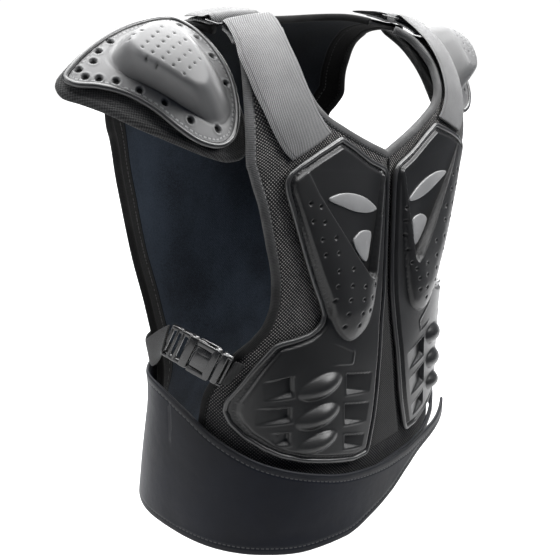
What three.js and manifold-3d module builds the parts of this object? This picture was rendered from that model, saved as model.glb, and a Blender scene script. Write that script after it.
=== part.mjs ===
// Chest protector worn over the upper body.
// Millimetres, +Z up, the front faces -Y and the wearer's left is +X.
// The origin is midway between the two shoulder rests.
import * as THREE from 'three';
import Module from 'manifold-3d';

const wasm = await Module();
wasm.setup();
const { Manifold, Mesh: SolidMesh } = wasm;

// Clearance between neighbouring pieces
const gap = 0.4;

// Thicknesses
const panelThick = 5;
const webThick = 2;
const stripThick = 1.6;
const beltThick = 3.5;
const padThick = 8.5;
const padRelief = 2.6;
const capThick = 2.6;
const insertThick = 1.2;

// How far a cutting form reaches past the faces that it cuts
const cutMargin = 2;

// Edge tape and piping
const tapeHalfWidth = 4.2;
const tapeHalfHeight = 3.7;
const tapeSides = 5;
const pipeSides = 5;
const pipeRadius = 2.4;

// Chest plate levels above the skin side of the front panel
const plateBack = panelThick + 1.3;
const flangeTop = plateBack + 2.6;
const bodyTop = flangeTop + 2.8;
const shieldRise = 9;
const bumpRise = 7;
const flangeWidth = 3.4;
const flangeClearance = 0.7;
const bodySlope = 1.4;
const endShare = 0.06;
const bodyShares = [0.13, 0.3, 0.52, 0.76];
const cellFloor = plateBack + 2;
const cellLip = 0.4;
const bumpSides = 12;
const bumpMiddleShare = 0.62;
const bumpSink = 0.2;
const bumpRoot = 1.5;
const shieldRoot = 1;
const ventRadius = 1.4;
const ventSides = 4;

// Torso sections, from the hem up
// z: height, line: y of the middle line, half: half width, depth: from the line back to the centre
// corner: squareness of the section
const frontRows = [
  { z: -440, line: -64.5, half: 168, depth: 110.5, corner: 2.5 },
  { z: -370, line: -64.5, half: 168, depth: 110.5, corner: 2.5 },
  { z: -300, line: -63, half: 168, depth: 109, corner: 2.6 },
  { z: -250, line: -60, half: 171, depth: 106, corner: 2.9 },
  { z: -200, line: -59, half: 178, depth: 105, corner: 3.4 },
  { z: -150, line: -59, half: 186, depth: 105, corner: 4 },
  { z: -105, line: -59, half: 190, depth: 105, corner: 4.6 },
  { z: -75, line: -58, half: 190, depth: 104, corner: 4.8 },
  { z: -48, line: -53, half: 190, depth: 100, corner: 4.8 },
  { z: -25, line: -43, half: 190, depth: 94, corner: 4.8 },
  { z: -8, line: -31, half: 190, depth: 86, corner: 4.8 },
  { z: 4, line: -18, half: 190, depth: 76, corner: 4.8 },
  { z: 11, line: -5, half: 190, depth: 66, corner: 4.8 },
  { z: 16, line: 8, half: 190, depth: 60, corner: 4.8 },
];
const backRows = [
  { z: -440, line: 158, half: 168, depth: 112, corner: 2.4 },
  { z: -400, line: 147, half: 168, depth: 101, corner: 2.4 },
  { z: -370, line: 137, half: 168, depth: 91, corner: 2.4 },
  { z: -330, line: 127, half: 168, depth: 81, corner: 2.3 },
  { z: -300, line: 129, half: 168, depth: 83, corner: 2.3 },
  { z: -250, line: 146, half: 171, depth: 100, corner: 2.35 },
  { z: -200, line: 158, half: 178, depth: 112, corner: 2.4 },
  { z: -150, line: 161, half: 186, depth: 115, corner: 2.5 },
  { z: -118, line: 162, half: 189, depth: 116, corner: 2.6 },
  { z: -80, line: 157, half: 190, depth: 111, corner: 2.9 },
  { z: -45, line: 146, half: 190, depth: 100, corner: 3.5 },
  { z: -14, line: 128, half: 190, depth: 86, corner: 4.4 },
  { z: 8, line: 104, half: 190, depth: 76, corner: 4.8 },
  { z: 18, line: 78, half: 190, depth: 66, corner: 4.8 },
  { z: 21, line: 50, half: 190, depth: 60, corner: 4.8 },
  { z: 18, line: 26, half: 190, depth: 60, corner: 4.8 },
  { z: 12, line: 9, half: 190, depth: 60, corner: 4.8 },
];
const droopDepth = 22;
const droopWidth = 190;
const droopFrom = -110;
const droopOver = 60;

// Outer outline of the front panel: station along frontRows, neck and arm: x of the two edges
const frontEdge = [
  { at: 11.6, neck: 87, arm: 141 },
  { at: 10.9, neck: 95, arm: 148 },
  { at: 10.2, neck: 100, arm: 154 },
  { at: 9.1, neck: 104, arm: 162 },
  { at: 8.2, neck: 99, arm: 167 },
  { at: 7.65, neck: 87, arm: 169 },
  { at: 7.26, neck: 69, arm: 170 },
  { at: 6.9, neck: 48, arm: 170.5 },
  { at: 6.55, neck: 24, arm: 170.5 },
  { at: 6.25, neck: 0, arm: 169 },
  { at: 5.9, neck: 0, arm: 166 },
  { at: 5.45, neck: 0, arm: 159.5 },
  { at: 4.8, neck: 0, arm: 151 },
  { at: 4.15, neck: 0, arm: 142.5 },
  { at: 3.7, neck: 0, arm: 140.5 },
  { at: 3.35, neck: 0, arm: 143 },
  { at: 3.08, neck: 0, arm: 149 },
  { at: 2.8, neck: 0, arm: 157 },
  { at: 2.4, neck: 0, arm: 162.5 },
  { at: 1.9, neck: 0, arm: 165.5 },
  { at: 1.2, neck: 0, arm: 166.5 },
  { at: 0.25, neck: 0, arm: 166.5 },
];
const neckRows = 10;

// Outer outline of the back panel: station along backRows, neck and arm: x of the two edges
const backEdge = [
  { at: 15.2, neck: 87, arm: 146 },
  { at: 14.7, neck: 83, arm: 148 },
  { at: 14.2, neck: 78, arm: 150 },
  { at: 13.6, neck: 66, arm: 153 },
  { at: 13.2, neck: 46, arm: 156 },
  { at: 13, neck: 24, arm: 158 },
  { at: 12.9, neck: 0, arm: 160 },
  { at: 12, neck: 0, arm: 168 },
  { at: 11, neck: 0, arm: 175 },
  { at: 10.1, neck: 0, arm: 176 },
  { at: 9.5, neck: 0, arm: 170 },
  { at: 9, neck: 0, arm: 163 },
  { at: 8, neck: 0, arm: 157 },
  { at: 7, neck: 0, arm: 152 },
  { at: 6, neck: 0, arm: 145 },
  { at: 5, neck: 0, arm: 139 },
  { at: 4, neck: 0, arm: 141 },
  { at: 3, neck: 0, arm: 151 },
  { at: 2, neck: 0, arm: 160 },
  { at: 0.3, neck: 0, arm: 165 },
];
const collarRows = 7;

// Outline of the right chest plate with its piping: z, outer and inner: distance from the middle
const plateRows = [
  { z: -78, outer: 80, inner: 76 },
  { z: -86, outer: 107, inner: 59 },
  { z: -94, outer: 128, inner: 45 },
  { z: -100, outer: 139, inner: 34 },
  { z: -105, outer: 142.5, inner: 22 },
  { z: -107.5, outer: 142.8, inner: 15.5 },
  { z: -110, outer: 143, inner: 10 },
  { z: -114, outer: 142.2, inner: 6.5 },
  { z: -119, outer: 141, inner: 4.5 },
  { z: -135, outer: 134.5, inner: 3.5 },
  { z: -158, outer: 125.5, inner: 3.5 },
  { z: -181, outer: 116, inner: 3.5 },
  { z: -201, outer: 107.5, inner: 3.8 },
  { z: -221, outer: 98, inner: 4.5 },
  { z: -232, outer: 94, inner: 5.3 },
  { z: -238, outer: 95.5, inner: 6 },
  { z: -242, outer: 100, inner: 6.4 },
  { z: -245, outer: 106, inner: 6.8 },
  { z: -247, outer: 117, inner: 7.1 },
  { z: -248.5, outer: 131, inner: 7.4 },
  { z: -251, outer: 136, inner: 7.8 },
  { z: -254.5, outer: 138.5, inner: 8.3 },
  { z: -261.5, outer: 142.5, inner: 9.2 },
  { z: -269, outer: 146.5, inner: 10 },
  { z: -277, outer: 150, inner: 11 },
  { z: -303, outer: 159.5, inner: 15 },
  { z: -314, outer: 160.5, inner: 16.5 },
  { z: -326, outer: 158, inner: 18 },
  { z: -339, outer: 151.5, inner: 20 },
  { z: -352, outer: 140, inner: 22.5 },
  { z: -361, outer: 128.5, inner: 25 },
  { z: -370, outer: 110, inner: 27.5 },
  { z: -377, outer: 88, inner: 29.5 },
  { z: -382, outer: 70, inner: 31.5 },
  { z: -386, outer: 54, inner: 34.5 },
];

// Raised shield of the plate: z and innerZ: heights of a row on its outer and inner arm
// outer and inner: the two edges, wallOuter and wallInner: the sides of the V recess between the arms
const shieldRows = [
  { z: -103, innerZ: -116, outer: 126, wallOuter: 122, wallInner: 21, inner: 17, rise: 0.06 },
  { z: -120, innerZ: -126, outer: 128, wallOuter: 109.5, wallInner: 21, inner: 15.5, rise: 0.2 },
  { z: -140, innerZ: -141, outer: 124, wallOuter: 94, wallInner: 23.5, inner: 16, rise: 0.42 },
  { z: -160, innerZ: -160, outer: 118, wallOuter: 78.5, wallInner: 27, inner: 18, rise: 0.64 },
  { z: -180, innerZ: -180, outer: 110.5, wallOuter: 63, wallInner: 31, inner: 21, rise: 0.84 },
  { z: -207, innerZ: -207, outer: 98.5, wallOuter: 40, wallInner: 40, inner: 25, rise: 1 },
  { z: -224, innerZ: -224, outer: 90.5, wallOuter: 50, wallInner: 50, inner: 28, rise: 1 },
  { z: -240, innerZ: -240, outer: 82.5, wallOuter: 56, wallInner: 56, inner: 32.5, rise: 0.9 },
  { z: -252, innerZ: -252, outer: 75, wallOuter: 57, wallInner: 57, inner: 39, rise: 0.7 },
  { z: -261, innerZ: -261, outer: 65, wallOuter: 57, wallInner: 57, inner: 49, rise: 0.3 },
];
const shieldShares = [0, 0.15, 0.35, 1];
const shieldStep = 0.5;
const shieldEdgeShare = 0.35;

// Vent holes of the shield: x, z
const vents = [
  [120, -127], [109, -131], [117, -142], [105, -145], [107, -159], [92, -160.5],
  [103, -173], [89, -174], [88, -190], [70, -192], [88, -204], [71, -207], [53, -212],
  [88, -217], [72, -220], [54, -224], [73, -233], [55, -237], [41, -225],
  [74, -245], [57, -248], [43, -237], [21, -152], [21.5, -165], [22, -179], [26, -194],
  [30, -207], [36, -214],
];

// Oval bumps: x, z of the middle, half length, half height, tilt in degrees
const bumps = [
  { x: 93.5, z: -298.5, long: 22, high: 11.3, tilt: -9 },
  { x: 95.5, z: -327, long: 21.5, high: 10.8, tilt: -9 },
  { x: 96, z: -352.5, long: 19.5, high: 9.4, tilt: -9 },
];

// Wedge pockets: corners as x, z from the shallow end to the deep end
const cells = [
  { shallow: [[140, -284.5], [139, -302.5]], deep: [[119, -282.5], [118.5, -302.5]] },
  { shallow: [[145, -310], [142.5, -326]], deep: [[120, -312.5], [120, -326.5]] },
  { shallow: [[138, -334.5], [131.5, -348]], deep: [[121, -337], [121, -349]] },
  { shallow: [[31, -302.5], [33.5, -320]], deep: [[66, -293.5], [66, -314]] },
  { shallow: [[35, -331], [38.5, -348.5]], deep: [[68, -322.5], [68, -343.5]] },
  { shallow: [[42, -361], [43, -373]], deep: [[68, -353.5], [68, -368]] },
];

// Light inserts in the V recess: outlines as x, z
const eyeOutline = [
  [97, -127], [85, -124.5], [68, -126], [50, -131.5], [36, -139], [28, -146],
  [36, -147.5], [56, -144.5], [79, -136],
];
const lowerOutline = [
  [62, -170], [56, -164.5], [49, -162.5], [36, -166], [37, -178], [42, -192],
];

// Woven strip between the plates: z and half width
const stripRows = [
  { z: -104, half: 0.9 },
  { z: -150, half: 1.9 },
  { z: -230, half: 3.2 },
  { z: -262, half: 6.6 },
  { z: -300, half: 11.5 },
  { z: -340, half: 16.5 },
  { z: -384, half: 26 },
];

// Shoulder strap: station along frontRows, inner and outer: x, rise: height of its middle
// slant: how many stations its inner edge is ahead of its outer edge
const strapRows = [
  { at: 6.8, inner: 88, outer: 135, rise: 7.4, slant: 0.6 },
  { at: 7.15, inner: 95, outer: 144, rise: 8, slant: 0.45 },
  { at: 8, inner: 106, outer: 153, rise: 9, slant: 0.2 },
  { at: 9, inner: 109, outer: 158, rise: 10, slant: 0 },
  { at: 10, inner: 108, outer: 158, rise: 11, slant: 0 },
  { at: 11, inner: 103, outer: 153, rise: 12.4, slant: 0 },
  { at: 11.8, inner: 99, outer: 149, rise: 14.6, slant: -0.1 },
  { at: 12.25, inner: 98.5, outer: 147.5, rise: 15.8, slant: -0.16 },
];
const strapReturnFrom = 11;

// Loop from the back panel to the ring: station along backRows
const loopRows = [
  { at: 14, inner: 98, outer: 146, rise: 10.4, slant: 0 },
  { at: 14.7, inner: 98, outer: 147, rise: 12, slant: 0 },
  { at: 15.35, inner: 98, outer: 148, rise: 15.6, slant: 0.5 },
];
const loopReturnFrom = 14.4;
const returnRise = 8;
const foldStops = 6;
const webColumns = 3;

// Ring on the shoulder
const ringBar = 0.7;
const ringHalfLength = 31;

// Shoulder cap: middle point and its three directions
const capMiddle = new THREE.Vector3(-212, 18, -20);
const capForward = new THREE.Vector3(0.1695, -0.7611, -0.6261);
const capOutward = new THREE.Vector3(-0.955, 0.03, -0.295);
const capUp = new THREE.Vector3(-0.2433, -0.6479, 0.7218);
const capCrown = 12;
const capBendForward = 0.0042;
const capBendOutward = 0.003;
const domeCentre = [18, -8];
const domeRise = 25;
const domeLean = 0.5;
const domeFlat = 0.5;
const domeSag = 0.12;
const domeShares = [0.45, 0.74, 1, 2];
const domeLimit = 0.94;

// Outlines round the dome centre, as forward and outward distances from the cap's middle
const domeFoot = [
  [-20, 29], [-9, 33], [2, 31], [24, 19], [44, 8], [60, -4], [65, -17], [59, -30], [43, -37],
  [14, -44], [-9, -45], [-25, -40], [-33, -20], [-30, 8],
];
const capOutline = [
  [-26, 66.5], [-15, 65.5], [-2, 55], [15, 43], [34, 33.5], [55, 24.5], [70, 13.5], [79, -2.5], [78.5, -18],
  [68, -34], [42, -52], [14, -61], [-18, -64], [-36, -56], [-40.5, -22], [-40, 8], [-37, 32], [-32, 54],
];
const padOutline = [
  [-33, 70], [-20, 74.5], [-4, 68.5], [14, 60], [38, 47], [60, 29], [79, 8], [91, -14], [91, -34],
  [72, -49], [37, -60], [4, -66], [-30, -67.5], [-44, -57], [-51, -20], [-48, 10], [-44, 34], [-39, 56],
];
const rimHoles = [
  [-31.5, 17.5], [-28.5, 31.5], [-23, 41], [-24, 53.5], [-15.5, 54.5], [-8, 48.5], [1.5, 40.5], [17, 31.5],
  [34, 21], [53, 10.5], [67, -8.5], [40, -43], [15, -50], [-6, -54], [-24, -52],
];
const rimHoleRadius = 2.5;
const rimHoleSides = 5;
const capTurns = 20;

// Waist belt, wound from its inner end at the front round the back to its outer end
// turn: degrees from the front towards the wearer's left, top and bottom: heights
const beltRows = [
  { turn: -12, top: -404, bottom: -424 },
  { turn: 30, top: -401, bottom: -412 },
  { turn: 50, top: -388, bottom: -400 },
  { turn: 66, top: -366, bottom: -404 },
  { turn: 82, top: -334, bottom: -424 },
  { turn: 100, top: -306, bottom: -440 },
  { turn: 130, top: -298, bottom: -445 },
  { turn: 180, top: -296, bottom: -445 },
  { turn: 230, top: -298, bottom: -445 },
  { turn: 262, top: -300, bottom: -446 },
  { turn: 275, top: -316, bottom: -449 },
  { turn: 285, top: -338, bottom: -452 },
  { turn: 298, top: -363, bottom: -456 },
  { turn: 312, top: -380, bottom: -460 },
  { turn: 328, top: -393, bottom: -460 },
  { turn: 344, top: -399, bottom: -452 },
  { turn: 360, top: -402, bottom: -442 },
  { turn: 375, top: -402, bottom: -427 },
  { turn: 388, top: -399, bottom: -416 },
  { turn: 402, top: -394, bottom: -407 },
  { turn: 414, top: -384, bottom: -399 },
];
const beltRise = panelThick + 2.3;
const beltWind = 4.9;
const beltTipRise = 7;
const beltTipFrom = 0.93;
const hemHeight = -440;
const hemFlare = 0.0006;
const waistHeight = -250;
const beltStops = 44;

// Side-release buckle on the wearer's right side, along: from the socket to the plug
const buckleMiddle = new THREE.Vector3(-184, 9.5, -259.5);
const buckleAlong = new THREE.Vector3(-25, 52, 28).normalize();
const buckleOut = new THREE.Vector3(-0.93, -0.36, 0).normalize();
const buckleWidth = 32;
const buckleThick = 9;
const socketLong = 33;
const plugLong = 27;
const slotLong = 4;
const slotFromEnd = 5;
const secondSlotFromEnd = 13;
const prongWindow = { along: 9, long: 9, wide: 7 };
const plugThinner = 1;
const sideWebWidth = 25;

// Narrow webbing at the buckle: x and z of its two edges, rise: height of its middle line
const frontWebSpots = [
  { topX: -149.5, topZ: -267, lowX: -158.5, lowZ: -290.5, rise: 8 },
];
const backWebSpots = [
  { topX: -167, topZ: -260, lowX: -167, lowZ: -284, rise: 11 },
  { topX: -160, topZ: -268, lowX: -160, lowZ: -292, rise: 8.6 },
  { topX: -150, topZ: -271, lowX: -150, lowZ: -295, rise: 8 },
  { topX: -138, topZ: -272, lowX: -138, lowZ: -296, rise: 7.9 },
  { topX: -122, topZ: -272, lowX: -122, lowZ: -296, rise: 6.9 },
];

function tableAt(rows, key, at) {
  const last = rows.length - 1;
  const i = Math.min(Math.max(Math.floor(at), 0), last - 1);
  const f = at - i;
  const value = (k) => rows[Math.min(Math.max(k, 0), last)][key];
  const [a, b, c, d] = [value(i - 1), value(i), value(i + 1), value(i + 2)];
  const second = 2 * a - 5 * b + 4 * c - d;
  const third = 3 * b - a - 3 * c + d;
  return 0.5 * (2 * b + (c - a) * f + second * f * f + third * f * f * f);
}

// Value of a column at a place of another column that falls or rises steadily
function lookUp(rows, column, key, place) {
  const down = rows[0][column] > rows[rows.length - 1][column];
  let i = 0;
  while (i < rows.length - 2 && (down ? rows[i + 1][column] > place : rows[i + 1][column] < place)) {
    i += 1;
  }
  const span = rows[i + 1][column] - rows[i][column];
  const f = Math.min(Math.max((place - rows[i][column]) / span, 0), 1);
  return rows[i][key] + (rows[i + 1][key] - rows[i][key]) * f;
}

function smooth(f) {
  const s = Math.min(Math.max(f, 0), 1);
  return s * s * (3 - 2 * s);
}

function droop(x, z) {
  return droopDepth * Math.abs(x / droopWidth) ** 3 * smooth((z - droopFrom) / droopOver);
}

// One side of the torso: u is the turn from its middle line, v the station along the rows
function torso(rows, facing) {
  const point = (u, v) => {
    const corner = tableAt(rows, 'corner', v);
    const depth = tableAt(rows, 'depth', v);
    const half = tableAt(rows, 'half', v);
    const z = tableAt(rows, 'z', v);
    const across = Math.abs(Math.sin(u)) / half;
    const along = Math.abs(Math.cos(u)) / depth;
    const radius = (across ** corner + along ** corner) ** (-1 / corner);
    const x = radius * Math.sin(u);
    const y = tableAt(rows, 'line', v) + facing * (radius * Math.cos(u) - depth);
    return new THREE.Vector3(x, y, z - droop(x, z));
  };
  const turnAt = (x, v) => {
    const corner = tableAt(rows, 'corner', v);
    const share = Math.min(Math.abs(x) / tableAt(rows, 'half', v), 0.9999);
    const y = tableAt(rows, 'depth', v) * (1 - share ** corner) ** (1 / corner);
    return Math.atan2(x, y);
  };
  const locate = (x, z) => {
    let low = 0;
    let high = facing < 0 ? rows.length - 1 : 13;
    for (let k = 0; k < 40; k += 1) {
      const middle = (low + high) / 2;
      const height = tableAt(rows, 'z', middle);
      if (height - droop(x, height) < z) low = middle;
      else high = middle;
    }
    return [turnAt(x, low), low];
  };
  return { point, turnAt, locate, step: [0.001, 0.002], flip: facing < 0 ? 1 : -1 };
}

const front = torso(frontRows, -1);
const back = torso(backRows, 1);

// Distance from the dome centre to an outline in one direction
function reach(outline, angle) {
  const [cx, cy] = domeCentre;
  const direction = [Math.cos(angle), Math.sin(angle)];
  let best = 0;
  outline.forEach((a, i) => {
    const b = outline[(i + 1) % outline.length];
    const [ax, ay, bx, by] = [a[0] - cx, a[1] - cy, b[0] - cx, b[1] - cy];
    const cross = (bx - ax) * direction[1] - (by - ay) * direction[0];
    const s = (ay * direction[0] - ax * direction[1]) / cross;
    const along = (ay * (bx - ax) - ax * (by - ay)) / cross;
    if (s >= -1e-9 && s <= 1 + 1e-9 && along > best) best = along;
  });
  return best;
}

function domeHeight(p, q) {
  const [x, y] = [p - domeCentre[0], q - domeCentre[1]];
  const share = Math.hypot(x, y) / reach(domeFoot, Math.atan2(y, x));
  return domeRise * (1 - smooth((share - domeFlat) / (1 - domeFlat))) * (1 - domeSag * share * share);
}

// The shoulder: u and v are the forward and outward distances from the cap's middle
const shoulder = {
  point: (p, q) => {
    const rise = domeHeight(p, q);
    const height = capCrown - capBendForward * p * p - capBendOutward * q * q + rise;
    return capMiddle.clone()
      .addScaledVector(capForward, p)
      .addScaledVector(capOutward, q + domeLean * rise)
      .addScaledVector(capUp, height);
  },
  step: [0.05, 0.05],
  flip: -1,
};

function slopes(surface, u, v) {
  const [du, dv] = surface.step;
  const along = surface.point(u + du, v).sub(surface.point(u - du, v)).divideScalar(2 * du);
  const up = surface.point(u, v + dv).sub(surface.point(u, v - dv)).divideScalar(2 * dv);
  const normal = along.clone().cross(up).normalize().multiplyScalar(surface.flip);
  return { along, up, normal };
}

function lifted(surface, u, v, height) {
  return surface.point(u, v).addScaledVector(slopes(surface, u, v).normal, height);
}

// Moves a place on a surface by a short distance along it
function slide(surface, place, direction, distance) {
  const { along, up } = slopes(surface, place[0], place[1]);
  const [a, b, c] = [along.dot(along), along.dot(up), up.dot(up)];
  const [d, e] = [along.dot(direction) * distance, up.dot(direction) * distance];
  const size = a * c - b * b;
  return [place[0] + (d * c - e * b) / size, place[1] + (a * e - b * d) / size];
}

// Moves a line of places sideways by a distance, positive towards its left seen from outside
function sideways(surface, line, distance, closed = false) {
  const points = line.map(([u, v]) => surface.point(u, v));
  const count = line.length;
  return line.map((place, i) => {
    const before = closed ? (i + count - 1) % count : Math.max(i - 1, 0);
    const after = closed ? (i + 1) % count : Math.min(i + 1, count - 1);
    const first = points[i].clone().sub(points[before]);
    const second = points[after].clone().sub(points[i]);
    if (first.length() === 0) first.copy(second);
    if (second.length() === 0) second.copy(first);
    first.normalize();
    second.normalize();
    const bend = first.clone().add(second).normalize();
    const side = slopes(surface, place[0], place[1]).normal.cross(bend).normalize();
    const stretch = 1 / Math.max(bend.dot(second), 0.6);
    return slide(surface, place, side, distance * stretch);
  });
}

function signedVolume(points, triangles) {
  return triangles.reduce((sum, [a, b, c]) => {
    const cross = points[b].clone().cross(points[c]);
    return sum + points[a].dot(cross) / 6;
  }, 0);
}

function closedForm(points, triangles) {
  const out = signedVolume(points, triangles) > 0;
  return { points, triangles: out ? triangles : triangles.map(([a, b, c]) => [a, c, b]) };
}

// A wall between two heights over a flat triangle net laid on a surface
function wall(surface, net, low, high) {
  const count = net.places.length;
  const height = (value, i) => (typeof value === 'function' ? value(net.places[i], i) : value);
  const points = [];
  net.places.forEach(([u, v], i) => points.push(lifted(surface, u, v, height(low, i))));
  net.places.forEach(([u, v], i) => points.push(lifted(surface, u, v, height(high, i))));
  const triangles = [];
  const edges = new Map();
  net.triangles.forEach(([a, b, c]) => {
    triangles.push([a + count, b + count, c + count], [a, c, b]);
    [[a, b], [b, c], [c, a]].forEach(([s, t]) => {
      const key = s < t ? `${s}_${t}` : `${t}_${s}`;
      edges.set(key, edges.has(key) ? null : [s, t]);
    });
  });
  edges.forEach((edge) => {
    if (!edge) return;
    const [s, t] = edge;
    triangles.push([s, t, t + count], [s, t + count, s + count]);
  });
  const used = new Map();
  const kept = [];
  const renumber = (i) => {
    if (!used.has(i)) {
      used.set(i, kept.length);
      kept.push(points[i]);
    }
    return used.get(i);
  };
  return closedForm(kept, triangles.map((triangle) => triangle.map(renumber)));
}

// A net of rows between pairs of lines; lines of one pair share the row numbers
function rowNet(left, right, columns, shares) {
  const places = [];
  const triangles = [];
  const wide = shares ? shares.length : columns + 1;
  left.forEach((a, i) => {
    for (let j = 0; j < wide; j += 1) {
      const f = shares ? shares[j] : j / columns;
      places.push([a[0] + (right[i][0] - a[0]) * f, a[1] + (right[i][1] - a[1]) * f, f]);
    }
  });
  for (let i = 0; i < left.length - 1; i += 1) {
    for (let j = 0; j < wide - 1; j += 1) {
      const k = i * wide + j;
      triangles.push([k, k + wide, k + wide + 1], [k, k + wide + 1, k + 1]);
    }
  }
  return { places, triangles };
}

// Joins nets whose places meet, so that shared edges are walled only where they are free
function joinNets(nets, tolerance = 1e-5) {
  const places = [];
  const triangles = [];
  const seen = new Map();
  nets.forEach((net) => {
    const index = net.places.map((place) => {
      const key = `${Math.round(place[0] / tolerance)}_${Math.round(place[1] / tolerance)}`;
      if (!seen.has(key)) {
        seen.set(key, places.length);
        places.push(place);
      }
      return seen.get(key);
    });
    net.triangles.forEach((t) => {
      const [a, b, c] = t.map((k) => index[k]);
      if (a !== b && b !== c && a !== c) triangles.push([a, b, c]);
    });
  });
  return { places, triangles };
}

// A net of rings round a centre, out to each ring's own line of places
function ringNet(centre, rings) {
  const places = [centre];
  const triangles = [];
  const count = rings[0].length;
  rings.forEach((ring) => ring.forEach((place) => places.push(place)));
  for (let j = 0; j < count; j += 1) {
    const k = (j + 1) % count;
    triangles.push([0, 1 + j, 1 + k]);
    for (let r = 0; r < rings.length - 1; r += 1) {
      const [a, b] = [1 + r * count, 1 + (r + 1) * count];
      triangles.push([a + j, b + j, b + k], [a + j, b + k, a + k]);
    }
  }
  return { places, triangles };
}

// A round or flat bar laid along places of a surface at a height
function bar(surface, line, height, halfWide, halfHigh, sides, closed = false) {
  const count = line.length;
  const spots = line.map(([u, v]) => lifted(surface, u, v, height));
  const points = [];
  spots.forEach((spot, i) => {
    const before = closed ? (i + count - 1) % count : Math.max(i - 1, 0);
    const after = closed ? (i + 1) % count : Math.min(i + 1, count - 1);
    const first = spot.clone().sub(spots[before]).normalize();
    const second = spots[after].clone().sub(spot).normalize();
    const ahead = first.add(second).normalize();
    const { normal } = slopes(surface, line[i][0], line[i][1]);
    const side = ahead.clone().cross(normal).normalize();
    const up = side.clone().cross(ahead).normalize();
    for (let k = 0; k < sides; k += 1) {
      const angle = (2 * Math.PI * (k + 0.5)) / sides;
      points.push(spot.clone()
        .addScaledVector(side, halfWide * Math.cos(angle))
        .addScaledVector(up, halfHigh * Math.sin(angle)));
    }
  });
  const triangles = [];
  const rings = closed ? count : count - 1;
  for (let i = 0; i < rings; i += 1) {
    const [a, b] = [i * sides, ((i + 1) % count) * sides];
    for (let k = 0; k < sides; k += 1) {
      const n = (k + 1) % sides;
      triangles.push([a + k, b + k, b + n], [a + k, b + n, a + n]);
    }
  }
  if (!closed) {
    const end = (count - 1) * sides;
    for (let k = 1; k < sides - 1; k += 1) {
      triangles.push([0, k, k + 1], [end, end + k + 1, end + k]);
    }
  }
  return closedForm(points, triangles);
}

function solidOf(form) {
  const vertProperties = new Float32Array(form.points.flatMap((p) => [p.x, p.y, p.z]));
  const triVerts = new Uint32Array(form.triangles.flat());
  const mesh = new SolidMesh({ numProp: 3, vertProperties, triVerts });
  mesh.merge();
  return new Manifold(mesh);
}

function formOf(solid) {
  const mesh = solid.getMesh();
  const points = [];
  for (let i = 0; i < mesh.numVert; i += 1) {
    points.push(new THREE.Vector3().fromArray(mesh.vertProperties, i * mesh.numProp));
  }
  const triangles = [];
  for (let i = 0; i < mesh.triVerts.length; i += 3) {
    triangles.push([mesh.triVerts[i], mesh.triVerts[i + 1], mesh.triVerts[i + 2]]);
  }
  return { points, triangles };
}

function mirrored(form) {
  return {
    points: form.points.map((p) => new THREE.Vector3(-p.x, p.y, p.z)),
    triangles: form.triangles.map(([a, b, c]) => [a, c, b]),
  };
}

const group = new THREE.Group();
group.name = 'chest_protector';

const finishes = {
  mesh: { color: 0x3a3a3c, roughness: 0.9 },
  tape: { color: 0x6f6f70, roughness: 0.9 },
  lining: { color: 0x1d232b, roughness: 0.95 },
  plastic: { color: 0x3b3d40, roughness: 0.4 },
  cap: { color: 0x6a6c6e, roughness: 0.4 },
  piping: { color: 0x2a2c2f, roughness: 0.35 },
  insert: { color: 0xa9abad, roughness: 0.5 },
  webbing: { color: 0x58585a, roughness: 0.85 },
  belt: { color: 0x131415, roughness: 0.5 },
  buckle: { color: 0x0d0e0f, roughness: 0.3 },
};

function add(name, form, finish) {
  const geometry = new THREE.BufferGeometry();
  const positions = new Float32Array(form.points.flatMap((p) => [p.x, p.y, p.z]));
  geometry.setAttribute('position', new THREE.BufferAttribute(positions, 3));
  geometry.setIndex(form.triangles.flat());
  geometry.computeVertexNormals();
  const material = new THREE.MeshStandardMaterial({ metalness: 0, ...finishes[finish] });
  const mesh = new THREE.Mesh(geometry, material);
  mesh.name = name;
  group.add(mesh);
}

function addPair(name, form, finish) {
  add(`${name}_right`, form, finish);
  add(`${name}_left`, mirrored(form), finish);
}

const turned = (line) => line.map(([u, v, f]) => [-u, v, f]);

// Panels and their edge tape
const tapeInset = tapeHalfWidth;
const panelInset = 2 * tapeHalfWidth + gap / 2;

function panel(name, surface, edge, openRows, finish, columns) {
  const arm = edge.map((row) => [surface.turnAt(-row.arm, row.at), row.at]);
  const neck = edge.slice(0, openRows).map((row) => [surface.turnAt(-row.neck, row.at), row.at]);
  const across = neck.concat(turned(neck.slice(0, -1)).reverse());
  const side = surface.flip;
  const armPanel = sideways(surface, arm, side * panelInset);
  const acrossPanel = sideways(surface, across, -side * panelInset);
  const middle = openRows - 1;
  const inner = edge.map((row, i) => (i <= middle ? acrossPanel[i] : [0, armPanel[i][1]]));
  inner[middle] = [0, inner[middle][1]];
  const right = rowNet(armPanel, inner, columns);
  const left = { places: turned(right.places), triangles: right.triangles.map(([a, b, c]) => [a, c, b]) };
  add(`${name}_panel`, wall(surface, joinNets([right, left]), 0, panelThick), finish);
  const centre = panelThick / 2;
  const armTape = sideways(surface, arm, side * tapeInset);
  const acrossTape = sideways(surface, across, -side * tapeInset);
  const sizes = [centre, tapeHalfWidth, tapeHalfHeight, tapeSides];
  add(`${name}_neck_tape`, bar(surface, acrossTape, ...sizes), 'tape');
  addPair(`${name}_arm_tape`, bar(surface, armTape, ...sizes), 'tape');
}

panel('front', front, frontEdge, neckRows, 'mesh', 5);
panel('back', back, backEdge, collarRows, 'lining', 6);

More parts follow.
